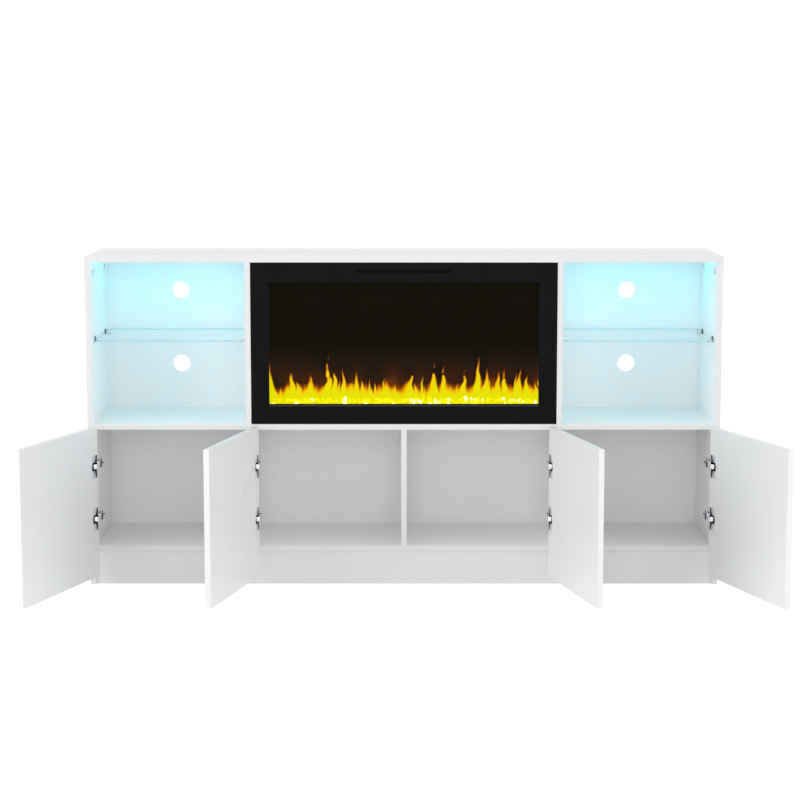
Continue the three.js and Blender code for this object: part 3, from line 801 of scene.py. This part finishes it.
def cup_wing(way):
    """One wing of the flange, with its raised rib and its screw, up or down from the cup."""
    half = WING_MM["half"] * MM
    thick = CUP_MM["flange"] * MM
    low, high = sorted((way * WING_MM["start"] * MM, way * WING_MM["end"] * MM))
    wing = block("wing", (-half, 0, low), (half, thick, high))
    rib = block("rib", (-half, thick / 2, low), (0, thick + RIB_MM["proud"] * MM, high))

    def far_end(centre, normal):
        return normal.z * way > FACING

    scale_faces(rib, far_end, (RIB_TAPER, 1, 1))
    move_faces(rib, far_end, (-RIB_ASIDE_SHARE * half, 0, 0))
    spot = Vector((CUP_SCREW_MM["aside"], CUP_MM["flange"], way * CUP_SCREW_MM["out"])) * MM
    return [
        # The wing's lighter nickel is a painted highlight, and the rib's dark steel is painted shade.
        paint(round_edges(wing, WING_MM["round"]), NICKEL_PAINTED_HIGHLIGHT),
        paint(round_edges(rib, RIB_MM["round"]), DARK_STEEL_AND_SHADE),
        paint(screw_head("cup_screw", CUP_SCREW_MM, spot), NICKEL),
    ]


cup_pattern = weld_together("cup_pattern", [cup_shell(), *cup_wing(-1), *cup_wing(1)])
print("hinge cup", len(cup_pattern.data.polygons), "faces")

# %% [markdown]
# The links are flat straps bent on edge. Each is a curve with a height, turned to a mesh, because
# a curve bends evenly where a row of boxes would kink. The door's joint tells where its axis
# stands and how far it is open, so what is set out on the shut door can be swung by that angle.

# %% Straps and the door's swing
STRAP_MM = {"half": 6, "thick": 0.8}
STRAP_STEPS = 6


def strap(name, points, finish):
    """A strap on edge along points in plan, as tall as a link."""
    curve = bpy.data.curves.new(name, "CURVE")
    curve.dimensions = "3D"
    curve.extrude = STRAP_MM["half"] * MM
    curve.bevel_depth = STRAP_MM["thick"] * MM
    curve.bevel_resolution = 1
    spline = curve.splines.new("BEZIER")
    spline.bezier_points.add(len(points) - 1)
    for knot, point in zip(spline.bezier_points, points):
        knot.co = point
        knot.handle_left_type = knot.handle_right_type = "AUTO"
    curve.resolution_u = STRAP_STEPS
    curve.twist_mode = "Z_UP"
    obj = bpy.data.objects.new(name, curve)
    bpy.context.scene.collection.objects.link(obj)
    pick(obj)
    bpy.ops.object.convert(target="MESH")
    return paint(settle(bpy.context.object, name), finish)


def swing_of(door):
    """The matrix that takes a point of the shut door to the open one."""
    joint = joints[door]
    pivot = Matrix.Translation(joint["pos_m"])
    turn = Matrix.Rotation(math.radians(-joint["range_deg"][0]), 4, Vector(joint["axis"]))
    return pivot @ turn @ pivot.inverted()


DOORS = sorted(name for name in joints if name.startswith("door"))
print({name: -joints[name]["range_deg"][0] for name in DOORS}, "degrees open")

# %% [markdown]
# Now the eight hinges are hung. The arm goes on the board's inner face, and the cup into its pocket and round with
# the door. The links reach from one to the other, as they stand with the door open.

# %% Hang the hinges
DOOR_GAP_MM = 2
SEAT_MM = 0.3
CUP_FROM_EDGE_MM = 22.5
AXIS_FROM_EDGE_MM = 8
MOUTH_RISE_MM = 3
CUP_FLOOR_MM = 7
LINK_START_MM = (13, 4, 0)
LINK_MM = {"aside": 2.4, "bow": 5}
LINK_HALFWAY = 0.5
MOUTH_PINCH_SHARE = 0.6


def hinge_links(name, nose, mouth, floor, inboard):
    """Two straps from the arm's nose over the cup's mouth to its floor."""
    bow = Vector((inboard * LINK_MM["bow"] * MM, 0, 0))
    for label, out in (("near", -1), ("far", 1)):
        shift = Vector((inboard * out * LINK_MM["aside"] * MM, 0, 0))
        along = (mouth - nose) * LINK_HALFWAY + bow
        over = mouth + shift * MOUTH_PINCH_SHARE
        points = [nose + shift, nose + shift + along, over, floor + shift]
        # The straps take the lighter nickel, which is a painted highlight.
        link = strap(f"hinge_link_{name}_{label}", points, NICKEL_PAINTED_HIGHLIGHT)
        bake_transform(link)


def hinge(door, height, inboard):
    """One hinge of a door: inboard is the way along X from the board into the cabinet."""
    arm_node = f"hinge_arm_{door}_{height}"
    cup_node = f"hinge_cup_{door}_{height}"
    body = "door_" + door
    low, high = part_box(arm_node)
    wall = low.x if inboard > 0 else high.x
    z = (low.z + high.z) / 2
    side = Matrix.Diagonal((inboard, 1, 1, 1))
    to_wall = Matrix.Translation((wall, front_y, z)) @ side
    arm = copy_of(arm_pattern, arm_node + "_metal", to_wall)
    place(arm, CARCASS, "hinge_metal", [arm_node])
    swing = swing_of(body)
    edge = joints[body]["pos_m"][0] - inboard * AXIS_FROM_EDGE_MM * MM
    face_y = front_y - (DOOR_GAP_MM - SEAT_MM) * MM
    centre = Vector((edge + inboard * CUP_FROM_EDGE_MM * MM, face_y, z))
    cup = copy_of(cup_pattern, cup_node + "_metal", swing @ Matrix.Translation(centre) @ side)
    place(cup, body, "hinge_metal", [cup_node])
    nose = to_wall @ (Vector(LINK_START_MM) * MM)
    mouth = swing @ Vector((centre.x, centre.y + MOUTH_RISE_MM * MM, z))
    floor = swing @ Vector((centre.x, centre.y - CUP_FLOOR_MM * MM, z))
    hinge_links(f"{door}_{height}", nose, mouth, floor, inboard)
    print("hinge", door, height, "reaches", round((floor - nose).length / MM), "mm")


HINGED = {"outer_left": 1, "centre_left": 1, "centre_right": -1, "outer_right": -1}
for door, inboard in HINGED.items():
    for height in ("lower", "upper"):
        hinge(door, height, inboard)
for pattern in (arm_pattern, cup_pattern):
    bpy.data.objects.remove(pattern)

# %% [markdown]
# Flat-pack boards are pulled together by cam locks: a zinc disc let into the board, with a cross
# for the screwdriver. They show on the inner faces of the two outer sides, just under the top.

# %% Cam locks
CAM_MM = {"radius": 7.5, "proud": 0.8, "below_top": 30, "behind_front": (48, 288)}


def cam_lock(side, number, behind_mm, inboard):
    low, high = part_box("side_" + side)
    x = high.x if inboard > 0 else low.x
    spot = Vector((x, front_y + behind_mm * MM, high.z - CAM_MM["below_top"] * MM))
    cam = screw_head(f"cam_lock_{side}_{number}", CAM_MM, spot, "X", inboard)
    place(paint(cam, CLIP_PLATE), CARCASS, "hinge_metal")
    print(cam.name, "at", tuple(round(part, 3) for part in spot))


for side, inboard in (("left", 1), ("right", -1)):
    for number, behind_mm in enumerate(CAM_MM["behind_front"], 1):
        cam_lock(side, number, behind_mm, inboard)

# %% [markdown]
# The fire is a picture thrown on the screen by the turning spindle. It is made of light alone, so
# it is one flat sheet whose shader draws it. A film of real flames would need a picture file, and
# modelled flames would look solid. Each row of tongues starts from a pattern of cells along the
# width: a cell gives a tongue its middle, and three chance numbers give it its height, its lean
# and how fast it cools. The tongue narrows to a point, and its edge glows out into the dark.

# %% Tongues of flame
RANGE = "ShaderNodeMapRange"
SUM = {"operation": "ADD"}
LESS = {"operation": "SUBTRACT"}
TIMES = {"operation": "MULTIPLY"}
SCALED = {"operation": "MULTIPLY_ADD"}
OVER = {"operation": "DIVIDE"}
LOWER = {"operation": "MINIMUM"}
HIGHER = {"operation": "MAXIMUM"}
BLENDED = {"operation": "SMOOTH_MAX"}
SIZE_ONLY = {"operation": "ABSOLUTE"}
RAISED = {"operation": "POWER", "use_clamp": True}
FLAME_ROWS = (  # spacing and half-width of the tongues, their lowest and highest tip, and a seed
    (31, 23, 62, 168, 0.0),
    (18, 13, 44, 112, 41.0),
)
TONGUE_SCATTER = 0.9
TONGUE_LEAN = 0.45
TONGUE_POINT = 1.5
TONGUE_EDGE = {"steep": 3.2, "glow": 0.3, "most": 0.95}
TIP_FADE = 6.0
TONGUE_COOLING = 0.35


def flicker(tree, along, up, along_mm, up_mm, seed, detail=1.0):
    """Noise in the flame's plane, with features of real sizes along and up it."""
    x = node(tree, MATH, TIMES, {0: along, 1: 1 / (along_mm * MM)})
    z = node(tree, MATH, TIMES, {0: up, 1: 1 / (up_mm * MM)})
    spot = node(tree, "ShaderNodeCombineXYZ", inputs={"X": x, "Y": seed, "Z": z})
    noise = {"Vector": spot, "Scale": 1.0, "Detail": detail}
    return node(tree, "ShaderNodeTexNoise", inputs=noise)


def tongue_heat(tree, bent, rise, spacing, half_mm, low, tall, seed):
    """The heat of one row of pointed tongues, each with its own height and lean."""
    spot = node(tree, MATH, SCALED, {0: bent, 1: 1 / (spacing * MM), 2: seed})
    cells = {"W": spot, "Scale": 1.0, "Randomness": TONGUE_SCATTER}
    cell = node(tree, "ShaderNodeTexVoronoi", {"voronoi_dimensions": "1D"}, cells)
    chance = node(tree, "ShaderNodeSeparateColor", inputs={0: cell.outputs["Color"]}).outputs
    tips = {"Value": chance["Red"], "To Min": low * MM, "To Max": tall * MM}
    climb = node(tree, MATH, OVER, {0: rise, 1: node(tree, RANGE, inputs=tips)})
    leans = {"Value": chance["Green"], "To Min": -TONGUE_LEAN, "To Max": TONGUE_LEAN}
    aside = node(tree, MATH, LESS, {0: spot, 1: cell.outputs["W"]})
    aside = node(tree, MATH, SCALED, {0: node(tree, RANGE, inputs=leans), 1: climb, 2: aside})
    aside = node(tree, MATH, SIZE_ONLY, {0: aside})
    left = node(tree, MATH, LESS, {0: 1.0, 1: climb})
    narrow = node(tree, MATH, RAISED, {0: left, 1: TONGUE_POINT})
    half = node(tree, MATH, TIMES, {0: narrow, 1: half_mm / spacing})
    inside = node(tree, MATH, LESS, {0: half, 1: aside})
    edge = {0: inside, 1: TONGUE_EDGE["steep"], 2: TONGUE_EDGE["glow"]}
    heat = node(tree, MATH, LOWER, {0: node(tree, MATH, SCALED, edge), 1: TONGUE_EDGE["most"]})
    fade = node(tree, MATH, TIMES, {0: left, 1: TIP_FADE})
    heat = node(tree, MATH, LOWER, {0: heat, 1: fade})
    cool = node(tree, MATH, TIMES, {0: chance["Blue"], 1: climb})
    return node(tree, MATH, SCALED, {0: cool, 1: -TONGUE_COOLING, 2: heat})


print(len(FLAME_ROWS), "rows of tongues, the tallest", max(row[3] for row in FLAME_ROWS), "mm")

# %% [markdown]
# Under the tongues lies a bed of fire with a wavy top, and the rows are melted into it. A slow
# noise bends them sideways, dark gaps open between them higher up, fine upright streaks break
# their edges, and a brown haze hangs behind. The heat that comes out runs through the fire's
# colours, from black through brown and orange to yellow.

# %% The heat of the fire
BED_MM = {"low": -6, "wave": 74, "apart": 34, "fade": 60}
BED_TOP_HEAT = 0.72
ROW_MELT = 0.15
WAVER_MM = {"along": 110, "up": 40, "reach": 11, "free_at": 60}
GAP_MM = {"along": 22, "up": 26, "start": 55, "full": 85}
GAP_FROM, GAP_TO, GAP_DEPTH = 0.5, 0.62, 0.5
STREAK_MM = {"along": 8, "up": 60}
STREAK_DEPTH = 0.17
HAZE_MM = {"along": 60, "up": 90, "start": 30, "end": 170}
HAZE_HEAT = 0.74
SEEDS = {"waver": 3.7, "bed": 8.0, "gap": 21.0, "streak": 8.9, "haze": 30.0}


def fire_bed(tree, bent, rise):
    tops = flicker(tree, bent, 0.0, BED_MM["apart"], 1, SEEDS["bed"])
    tops = {0: tops, 1: BED_MM["wave"] * MM, 2: BED_MM["low"] * MM}
    under = node(tree, MATH, LESS, {0: node(tree, MATH, SCALED, tops), 1: rise})
    return node(tree, MATH, SCALED, {0: under, 1: 1 / (BED_MM["fade"] * MM), 2: BED_TOP_HEAT})


def dark_gaps(tree, x, rise):
    gap = flicker(tree, x, rise, GAP_MM["along"], GAP_MM["up"], SEEDS["gap"])
    gap = {"Value": gap, "From Min": GAP_FROM, "From Max": GAP_TO, "To Max": GAP_DEPTH}
    above = {"Value": rise, "From Min": GAP_MM["start"] * MM, "From Max": GAP_MM["full"] * MM}
    both = {0: node(tree, RANGE, inputs=gap), 1: node(tree, RANGE, inputs=above)}
    return node(tree, MATH, TIMES, both)


def streaks(tree, bent, rise):
    noise = flicker(tree, bent, rise, STREAK_MM["along"], STREAK_MM["up"], SEEDS["streak"], 2.0)
    return node(tree, MATH, SCALED, {0: noise, 1: 2 * STREAK_DEPTH, 2: -STREAK_DEPTH})


def brown_haze(tree, bent, rise):
    span = {"From Min": HAZE_MM["start"] * MM, "From Max": HAZE_MM["end"] * MM}
    fade = {"Value": rise, **span, "To Min": HAZE_HEAT, "To Max": 0.0}
    noise = flicker(tree, bent, rise, HAZE_MM["along"], HAZE_MM["up"], SEEDS["haze"])
    return node(tree, MATH, TIMES, {0: node(tree, RANGE, inputs=fade), 1: noise})


def fire_heat(tree, x, rise):
    waver = flicker(tree, x, rise, WAVER_MM["along"], WAVER_MM["up"], SEEDS["waver"])
    reach = WAVER_MM["reach"] * MM
    waver = node(tree, RANGE, inputs={"Value": waver, "To Min": -reach, "To Max": reach})
    free = node(tree, RANGE, inputs={"Value": rise, "From Max": WAVER_MM["free_at"] * MM})
    bent = node(tree, MATH, SCALED, {0: waver, 1: free, 2: x})
    heat = fire_bed(tree, bent, rise)
    for row in FLAME_ROWS:
        tongues = tongue_heat(tree, bent, rise, *row)
        heat = node(tree, MATH, BLENDED, {0: heat, 1: tongues, 2: ROW_MELT})
    heat = node(tree, MATH, LESS, {0: heat, 1: dark_gaps(tree, x, rise)})
    heat = node(tree, MATH, SUM, {0: heat, 1: streaks(tree, bent, rise)})
    return node(tree, MATH, HIGHER, {0: heat, 1: brown_haze(tree, bent, rise)})


print("the bed of fire is up to", BED_MM["low"] + BED_MM["wave"], "mm high")

# %% [markdown]
# The picture is a thin sheet a little in front of the screen and a little wider than it, so that
# no dark strip shows at its sides. Its own light is all that one sees of it, so its base is black.

# %% The flame picture
FLAME_STRENGTH = 1.75
FLAME_COLOURS = (
    (0.0, "0B0801"),
    (0.16, "21160C"),
    (0.3, "3E1F0A"),
    (0.44, "9A4A06"),
    (0.55, "E48606"),
    (0.66, "FFC400"),
    (0.8, "F4E400"),
    (1.0, "EEEE00"),
)
PICTURE_MM = {"wider": 9, "back": 0.4, "front": 1.6, "down": 20, "below_top": 3, "round": 0.3}
FIRE_SUNK_MM = 16


def flame_light(base_z):
    made, tree, shader = material("flame_light", "000000", 0.6, Specular_IOR_Level=0.0)
    point = node(tree, "ShaderNodeTexCoord").outputs["Object"]
    split = node(tree, "ShaderNodeSeparateXYZ", inputs={0: point}).outputs
    rise = node(tree, MATH, LESS, {0: split["Z"], 1: base_z})
    ramp = node(tree, "ShaderNodeValToRGB", inputs={"Fac": fire_heat(tree, split["X"], rise)})
    band = ramp.color_ramp
    while len(band.elements) < len(FLAME_COLOURS):
        band.elements.new(0.5)
    for element, (spot, colour) in zip(band.elements, FLAME_COLOURS):
        element.position = spot
        element.color = linear(colour)
    tree.links.new(ramp.outputs["Color"], shader.inputs["Emission Color"])
    shader.inputs["Emission Strength"].default_value = FLAME_STRENGTH
    return made


screen_low, screen_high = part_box("flame_screen")
ember_low, ember_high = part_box("ember_bed")
fire_base = ember_high.z - FIRE_SUNK_MM * MM
wider, down = PICTURE_MM["wider"] * MM, PICTURE_MM["down"] * MM
face_y = screen_low.y - PICTURE_MM["front"] * MM
back_y = screen_low.y - PICTURE_MM["back"] * MM
picture_top = screen_high.z - PICTURE_MM["below_top"] * MM
picture_ends = (
    (screen_low.x - wider, face_y, fire_base - down),
    (screen_high.x + wider, back_y, picture_top),
)
picture = round_edges(block("flame_picture", *picture_ends), PICTURE_MM["round"])
place(paint(picture, flame_light(fire_base)), CARCASS, "smoked_glass")
print("flame picture", [round(size / MM, 1) for size in picture.dimensions], "mm")

# %% [markdown]
# In front of the screen lies a bed of cut resin crystals, lit yellow from below, with a few that catch the light
# and flash white. Real resin would need light traced through each piece, so here the crystals glow by themselves:
# the yellow glow is painted light from below, and the white crystals are painted glints, with a patchy shade. They
# lie in a shallow black tray.

# %% Resin and tray
CRYSTAL_IOR = 1.57
CRYSTAL_GLOSS = 0.12
CRYSTAL_PATCH_MM = 9
CRYSTAL_DEEP_HEX = "F0DC00"
TRAY_MM = {"rim": 1.5, "deep": 3, "below": 1, "round": 0.5}


def lit_crystal(name, hex_colour, strength):
    made, tree, shader = material(name, hex_colour, CRYSTAL_GLOSS, IOR=CRYSTAL_IOR)
    shades = {FIRST_COLOUR: linear(CRYSTAL_DEEP_HEX), SECOND_COLOUR: linear(hex_colour)}
    glow = node(tree, MIX, COLOURS, {"Factor": mottle(tree, CRYSTAL_PATCH_MM), **shades})
    tree.links.new(glow.outputs[MIXED_COLOUR], shader.inputs["Emission Color"])
    shader.inputs["Emission Strength"].default_value = strength
    return made


def crystal_tray():
    top = (ember_high.x, ember_high.y, fire_base - TRAY_MM["below"] * MM)
    tray = block("tray", ember_low, top)
    sink(tray, looks_up, TRAY_MM["rim"], TRAY_MM["deep"])
    return paint(round_edges(tray, TRAY_MM["round"]), BLACK_ENAMEL)


# Their glow is painted light: yellow for the light from below, and white for painted glints.
UNDERLIT_CRYSTAL = lit_crystal("resin_painted_underlight", "F4F000", 1.3)
GLINT_CRYSTAL = lit_crystal("resin_painted_glint", "FFFFE8", 2.6)
print("a tray", round((ember_high.x - ember_low.x) / MM), "mm long waits for its crystals")

# %% [markdown]
# One crystal is a ball of few faces, pinched towards both ends. It is copied in rows with turned
# and scaled copies, so that no two lie alike. The chance numbers come from a seed, so that the bed
# is the same each time.

# %% Crystals
CRYSTAL_SEED = 7
CRYSTAL_MM = 8.5
CRYSTAL_STEPS = 62
CRYSTAL_ROWS = 4
CRYSTAL_RISE_MM = 14
CRYSTAL_LIFT_MM = (-2, 3)
CRYSTAL_OVERHANG_MM = 3
CRYSTAL_JITTER_SHARE = 0.3
CRYSTAL_TIP_SHARE = 0.5
CRYSTAL_PINCH = (0.7, 0.7, 1.2)
CRYSTAL_SIZES = (0.5, 1.0)
TURN_UPWARDS = 0.4
GLINT_SHARE = 0.16


def one_crystal():
    bpy.ops.object.select_all(action="DESELECT")
    bpy.ops.mesh.primitive_ico_sphere_add(subdivisions=1, radius=CRYSTAL_MM * MM)
    pattern = settle(bpy.context.object, "crystal")
    tip = CRYSTAL_MM * MM * CRYSTAL_TIP_SHARE
    scale_faces(pattern, lambda centre, normal: abs(centre.z) > tip, CRYSTAL_PINCH)
    return pattern


def crystal_spot(rng, row, step):
    """A place in the bed, a little off its even step, and higher towards the back."""
    overhang = CRYSTAL_OVERHANG_MM * MM
    span = ember_high.x - ember_low.x + 2 * overhang
    across = (step + 0.5 + CRYSTAL_JITTER_SHARE * rng.uniform(-1, 1)) / CRYSTAL_STEPS
    deep = (row + 0.5 + CRYSTAL_JITTER_SHARE * rng.uniform(-1, 1)) / CRYSTAL_ROWS
    rise = (CRYSTAL_RISE_MM * row / CRYSTAL_ROWS + rng.uniform(*CRYSTAL_LIFT_MM)) * MM
    x = ember_low.x - overhang + span * across
    return Vector((x, between(ember_low.y, ember_high.y, deep), fire_base + rise))


def crystal_bed():
    rng = random.Random(CRYSTAL_SEED)
    pattern = one_crystal()
    made = [crystal_tray()]
    for row in range(CRYSTAL_ROWS):
        for step in range(CRYSTAL_STEPS):
            move = Matrix.Translation(crystal_spot(rng, row, step))
            angle = rng.uniform(0, math.tau)
            turn = Matrix.Rotation(angle, 4, Vector((rng.random(), rng.random(), TURN_UPWARDS)))
            size = Matrix.Scale(rng.uniform(*CRYSTAL_SIZES), 4)
            made.append(copy_of(pattern, "crystal_copy", move @ turn @ size))
            # A share of the crystals glow white as painted glints, the rest yellow as painted light from below.
            paint(made[-1], GLINT_CRYSTAL if rng.random() < GLINT_SHARE else UNDERLIT_CRYSTAL)
    bpy.data.objects.remove(pattern)
    print(len(made) - 1, "crystals in the tray")
    return weld_together("crystal_bed", made)


place(crystal_bed(), CARCASS, "crystal", ["ember_bed"])

# %% [markdown]
# A thin grey trim closes the gap under the window, where the pane sits in its seat. It is a bar
# with rounded edges, pressed a little proud of the frame so that it catches the light.

# %% Window trim
TRIM_MM = {"below": 5, "half": 1.1, "proud": 0.5, "deep": 1, "round": 0.3}
WINDOW_SEAT_MM = 10
TRIM_COAT_MM = {"grain": 2, "sheen": 8, "deep": 0.01}
TRIM_GLOSS = (0.3, 0.42)

trim_parts = material("grey_trim", "3A3F4A", 0.35, Specular_IOR_Level=0.2)
trim_metal = uneven(trim_parts, TRIM_COAT_MM, None, TRIM_GLOSS, 1.0)
window_low, window_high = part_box("window_glass")
frame_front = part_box("front_frame")[0].y
seat = WINDOW_SEAT_MM * MM
trim_z = window_low.z + (WINDOW_SEAT_MM - TRIM_MM["below"]) * MM
half = TRIM_MM["half"] * MM
trim = block(
    "window_trim",
    (window_low.x + seat, frame_front - TRIM_MM["proud"] * MM, trim_z - half),
    (window_high.x - seat, frame_front + TRIM_MM["deep"] * MM, trim_z + half),
)
place(paint(round_edges(trim, TRIM_MM["round"]), trim_metal), CARCASS, "insert_black")
print("window trim", round(trim.dimensions.x / MM), "mm long")

# %% [markdown]
# Warm air leaves through a slot above the window. On a real insert thin blades close it to the eye
# and to fingers. Three blades are enough, tilted so far that nobody sees past them, and set a
# little behind the face of the frame.

# %% Louvres of the warm-air outlet
BLADES = 3
BLADE_MM = {"deep": 3.4, "thick": 0.7, "reach": 1.9, "setback": 1.9, "round": 0.15}
BLADE_TILT_DEG = 52

openings = {row["name"]: row["box_m"] for row in frame["record"]["physics"]["openings"]}
outlet_low, outlet_high = (Vector(corner) for corner in openings["warm_air_slot"])


def outlet_louvres():
    corner = Vector((outlet_high.x + BLADE_MM["reach"] * MM, 0, 0))
    corner += Vector((0, BLADE_MM["deep"], BLADE_MM["thick"])) * MM / 2
    pattern = round_edges(block("blade", -corner, corner), BLADE_MM["round"])
    paint(pattern, BLACK_ENAMEL)
    tilt = Matrix.Rotation(math.radians(BLADE_TILT_DEG), 4, "X")
    y = frame_front + BLADE_MM["setback"] * MM
    made = []
    for row in range(BLADES):
        spot = (0, y, between(outlet_low.z, outlet_high.z, (row + 0.5) / BLADES))
        made.append(copy_of(pattern, "blade_copy", Matrix.Translation(spot) @ tilt))
    bpy.data.objects.remove(pattern)
    return weld_together("outlet_louvres", made)


louvred = place(outlet_louvres(), CARCASS, "insert_black")
print(BLADES, "blades,", round(louvred.dimensions.x / MM), "mm long")

# %% [markdown]
# The casing's back lets cool air in through pressed louvres, in rows over its upper half. Each is
# the mark of one stroke of a press tool: a bar whose lower edge stands off the sheet and whose
# upper edge runs back into it. One is shaped at each place, by drawing in a block's top face.

# %% Vents in the casing
VENTS = {"columns": 18, "rows": 4}
VENT_MM = {"apart": 29, "row": 13, "half": 9, "high": 5, "proud": 3, "drawn_in": 1.4, "round": 0.4}
GLAND_LONG_MM = 12

case_low, case_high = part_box("insert_casing")
case_middle = (case_low + case_high) / 2
sheet_y = case_high.y - GLAND_LONG_MM * MM


def vent(x, z):
    half = VENT_MM["half"] * MM
    high = (x + half, sheet_y + VENT_MM["proud"] * MM, z + VENT_MM["high"] * MM)
    louvre = block("louvre", (x - half, sheet_y, z), high)
    move_faces(louvre, looks_up, (0, -VENT_MM["drawn_in"] * MM, 0))
    return paint(round_edges(louvre, VENT_MM["round"]), CASE_ENAMEL)


louvres = []
for row in range(VENTS["rows"]):
    for column in range(VENTS["columns"]):
        steps = column - (VENTS["columns"] - 1) / 2
        x = case_middle.x + steps * VENT_MM["apart"] * MM
        louvres.append(vent(x, case_middle.z + row * VENT_MM["row"] * MM))
place(weld_together("casing_louvres", louvres), CARCASS, "insert_black")
print(len(louvres), "louvres")

# %% [markdown]
# The mains cord would pass through a gland low in the casing's back. Its bore is closed by a
# rubber seal with a dimple, so that no light of the fire comes out there. Screws along the
# casing's upper and lower edge hold its back on.

# %% Gland seal and casing screws
GLAND_MM = {"inset": 62, "rise": 42}
SEAL_MM = {"radius": 4, "start": 2, "end": 9, "rim": 1.4, "deep": 2, "round": 0.3}
CASING_SCREWS = 9
CASING_SCREW_MM = {"from_end": 12, "from_edge": 9, "radius": 3.5, "proud": 1.6}

gland_x = case_high.x - GLAND_MM["inset"] * MM
gland_z = case_low.z + GLAND_MM["rise"] * MM
seal_ends = [Vector((gland_x, sheet_y + SEAL_MM[end] * MM, gland_z)) for end in ("start", "end")]
seal = disc("gland_seal", SEAL_MM["radius"] * MM, *seal_ends, "Y")
sink(seal, looks_back, SEAL_MM["rim"], SEAL_MM["deep"])
place(paint(round_edges(seal, SEAL_MM["round"]), RUBBER), CARCASS, "black_plastic")

from_end = CASING_SCREW_MM["from_end"] * MM
from_edge = CASING_SCREW_MM["from_edge"] * MM
heads = []
for index in range(CASING_SCREWS):
    share = index / (CASING_SCREWS - 1)
    x = between(case_low.x + from_end, case_high.x - from_end, share)
    for z in (case_low.z + from_edge, case_high.z - from_edge):
        heads.append(screw_head("casing_screw", CASING_SCREW_MM, Vector((x, sheet_y, z))))
screws = weld_together("casing_screws", heads)
place(paint(screws, DARK_STEEL_AND_SHADE), CARCASS, "insert_black")
print(len(heads), "casing screws")

# %% [markdown]
# The hardboard backs are held by small round-headed screws driven into the boards' edges. They are
# set out by a real spacing along each back's border, and none stands in its middle.

# %% Back screws
BACK_SCREW_MM = {"pitch": 150, "inset": 7, "radius": 3.2, "proud": 1.3}


def back_screws(name):
    low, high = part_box(name)
    inset = BACK_SCREW_MM["inset"] * MM
    pitch = BACK_SCREW_MM["pitch"] * MM
    columns = max(2, round((high.x - low.x) / pitch) + 1)
    rows = max(2, round((high.z - low.z) / pitch) + 1)
    made = []
    for column in range(columns):
        for row in range(rows):
            if 0 < column < columns - 1 and 0 < row < rows - 1:
                continue
            x = between(low.x + inset, high.x - inset, column / (columns - 1))
            z = between(low.z + inset, high.z - inset, row / (rows - 1))
            made.append(screw_head("back_screw", BACK_SCREW_MM, Vector((x, high.y, z))))
    whole = weld_together(name + "_screws", made)
    place(paint(whole, DARK_STEEL_AND_SHADE), CARCASS, "hinge_metal")
    print(len(made), "screws in", name)


for name in ("back_left", "back_centre", "back_right"):
    back_screws(name)

# %% [markdown]
# The stage is a plain white floor and a plain world. Both show pure white to the camera, in
# mirrors and through glass, and give only a pale light to the object. The floor keeps a share of
# the object's shadow, which stands it on the ground.

# %% Stage
WORLD_LIGHT = 0.6
SHADOW_SHARE = 0.2
FLOOR_GLOW = 1.15
FLOOR_SIZE = 12
FLOOR_PAINT = (0.86, 0.86, 0.86, 1)
WHITE = (1, 1, 1, 1)


def backdrop_share(tree):
    """1 for a ray that the eye follows, straight, off a gloss or through glass, and else 0."""
    path = node(tree, "ShaderNodeLightPath").outputs
    seen = node(tree, MATH, HIGHER, {0: path["Is Camera Ray"], 1: path["Is Glossy Ray"]})
    return node(tree, MATH, HIGHER, {0: seen, 1: path["Is Transmission Ray"]})


def white_floor():
    bpy.ops.object.select_all(action="DESELECT")
    bpy.ops.mesh.primitive_plane_add(size=FLOOR_SIZE, location=(0, 0, 0))
    floor = settle(bpy.context.object, "floor")
    made = bpy.data.materials.new("white_floor")
    made.use_nodes = True
    tree = made.node_tree
    tree.nodes.clear()
    matt = node(tree, "ShaderNodeBsdfDiffuse", inputs={"Color": FLOOR_PAINT})
    glow = node(tree, "ShaderNodeEmission", inputs={"Color": WHITE, "Strength": FLOOR_GLOW})
    share = node(tree, MATH, TIMES, {0: backdrop_share(tree), 1: 1 - SHADOW_SHARE})
    mix = node(tree, "ShaderNodeMixShader", inputs={0: share, 1: matt, 2: glow})
    node(tree, "ShaderNodeOutputMaterial", inputs={"Surface": mix})
    paint(floor, made)


def pale_world():
    world = bpy.data.worlds.new("pale_room")
    bpy.context.scene.world = world
    world.use_nodes = True
    tree = world.node_tree
    tree.nodes.clear()
    levels = {0: backdrop_share(tree), 1: 1 - WORLD_LIGHT, 2: WORLD_LIGHT}
    strength = node(tree, MATH, SCALED, levels)
    sky = node(tree, "ShaderNodeBackground", inputs={"Color": WHITE, "Strength": strength})
    node(tree, "ShaderNodeOutputWorld", inputs={"Surface": sky})


white_floor()
pale_world()
print("floor of", FLOOR_SIZE, "m, world light", WORLD_LIGHT)

# %% [markdown]
# The lamps are large, so the light is soft. The one in front reaches into the open cabinets, the
# weak one above lifts the top, and one stands at each side. The left lamp is the stronger of these
# two, because in the photograph the right-hand doors are the brighter ones.

# %% Lamps
LAMPS = {  # where each stands, what it looks at, its size in metres and its watts
    "left": ((-4.6, -2.9, 1.9), (0, 0, 0.5), 4.4, 106),
    "right": ((4.6, -2.9, 1.7), (0, 0, 0.5), 4.4, 80),
    "front": ((0, -7.5, 1.8), (0, 0, 0.5), 3.0, 62),
    "top": ((0, -0.4, 3.6), (0, 0, 0.9), 2.5, 12),
}


def lamp(name, location, target, size, watts):
    data = bpy.data.lights.new(name, "AREA")
    data.size = size
    data.energy = watts
    obj = bpy.data.objects.new(name, data)
    bpy.context.scene.collection.objects.link(obj)
    obj.location = location
    way = Vector(target) - Vector(location)
    obj.rotation_euler = way.to_track_quat("-Z", "Y").to_euler()
    print(name, "lamp", watts, "W,", round(way.length, 1), "m away")


for name, settings in LAMPS.items():
    lamp(name, *settings)
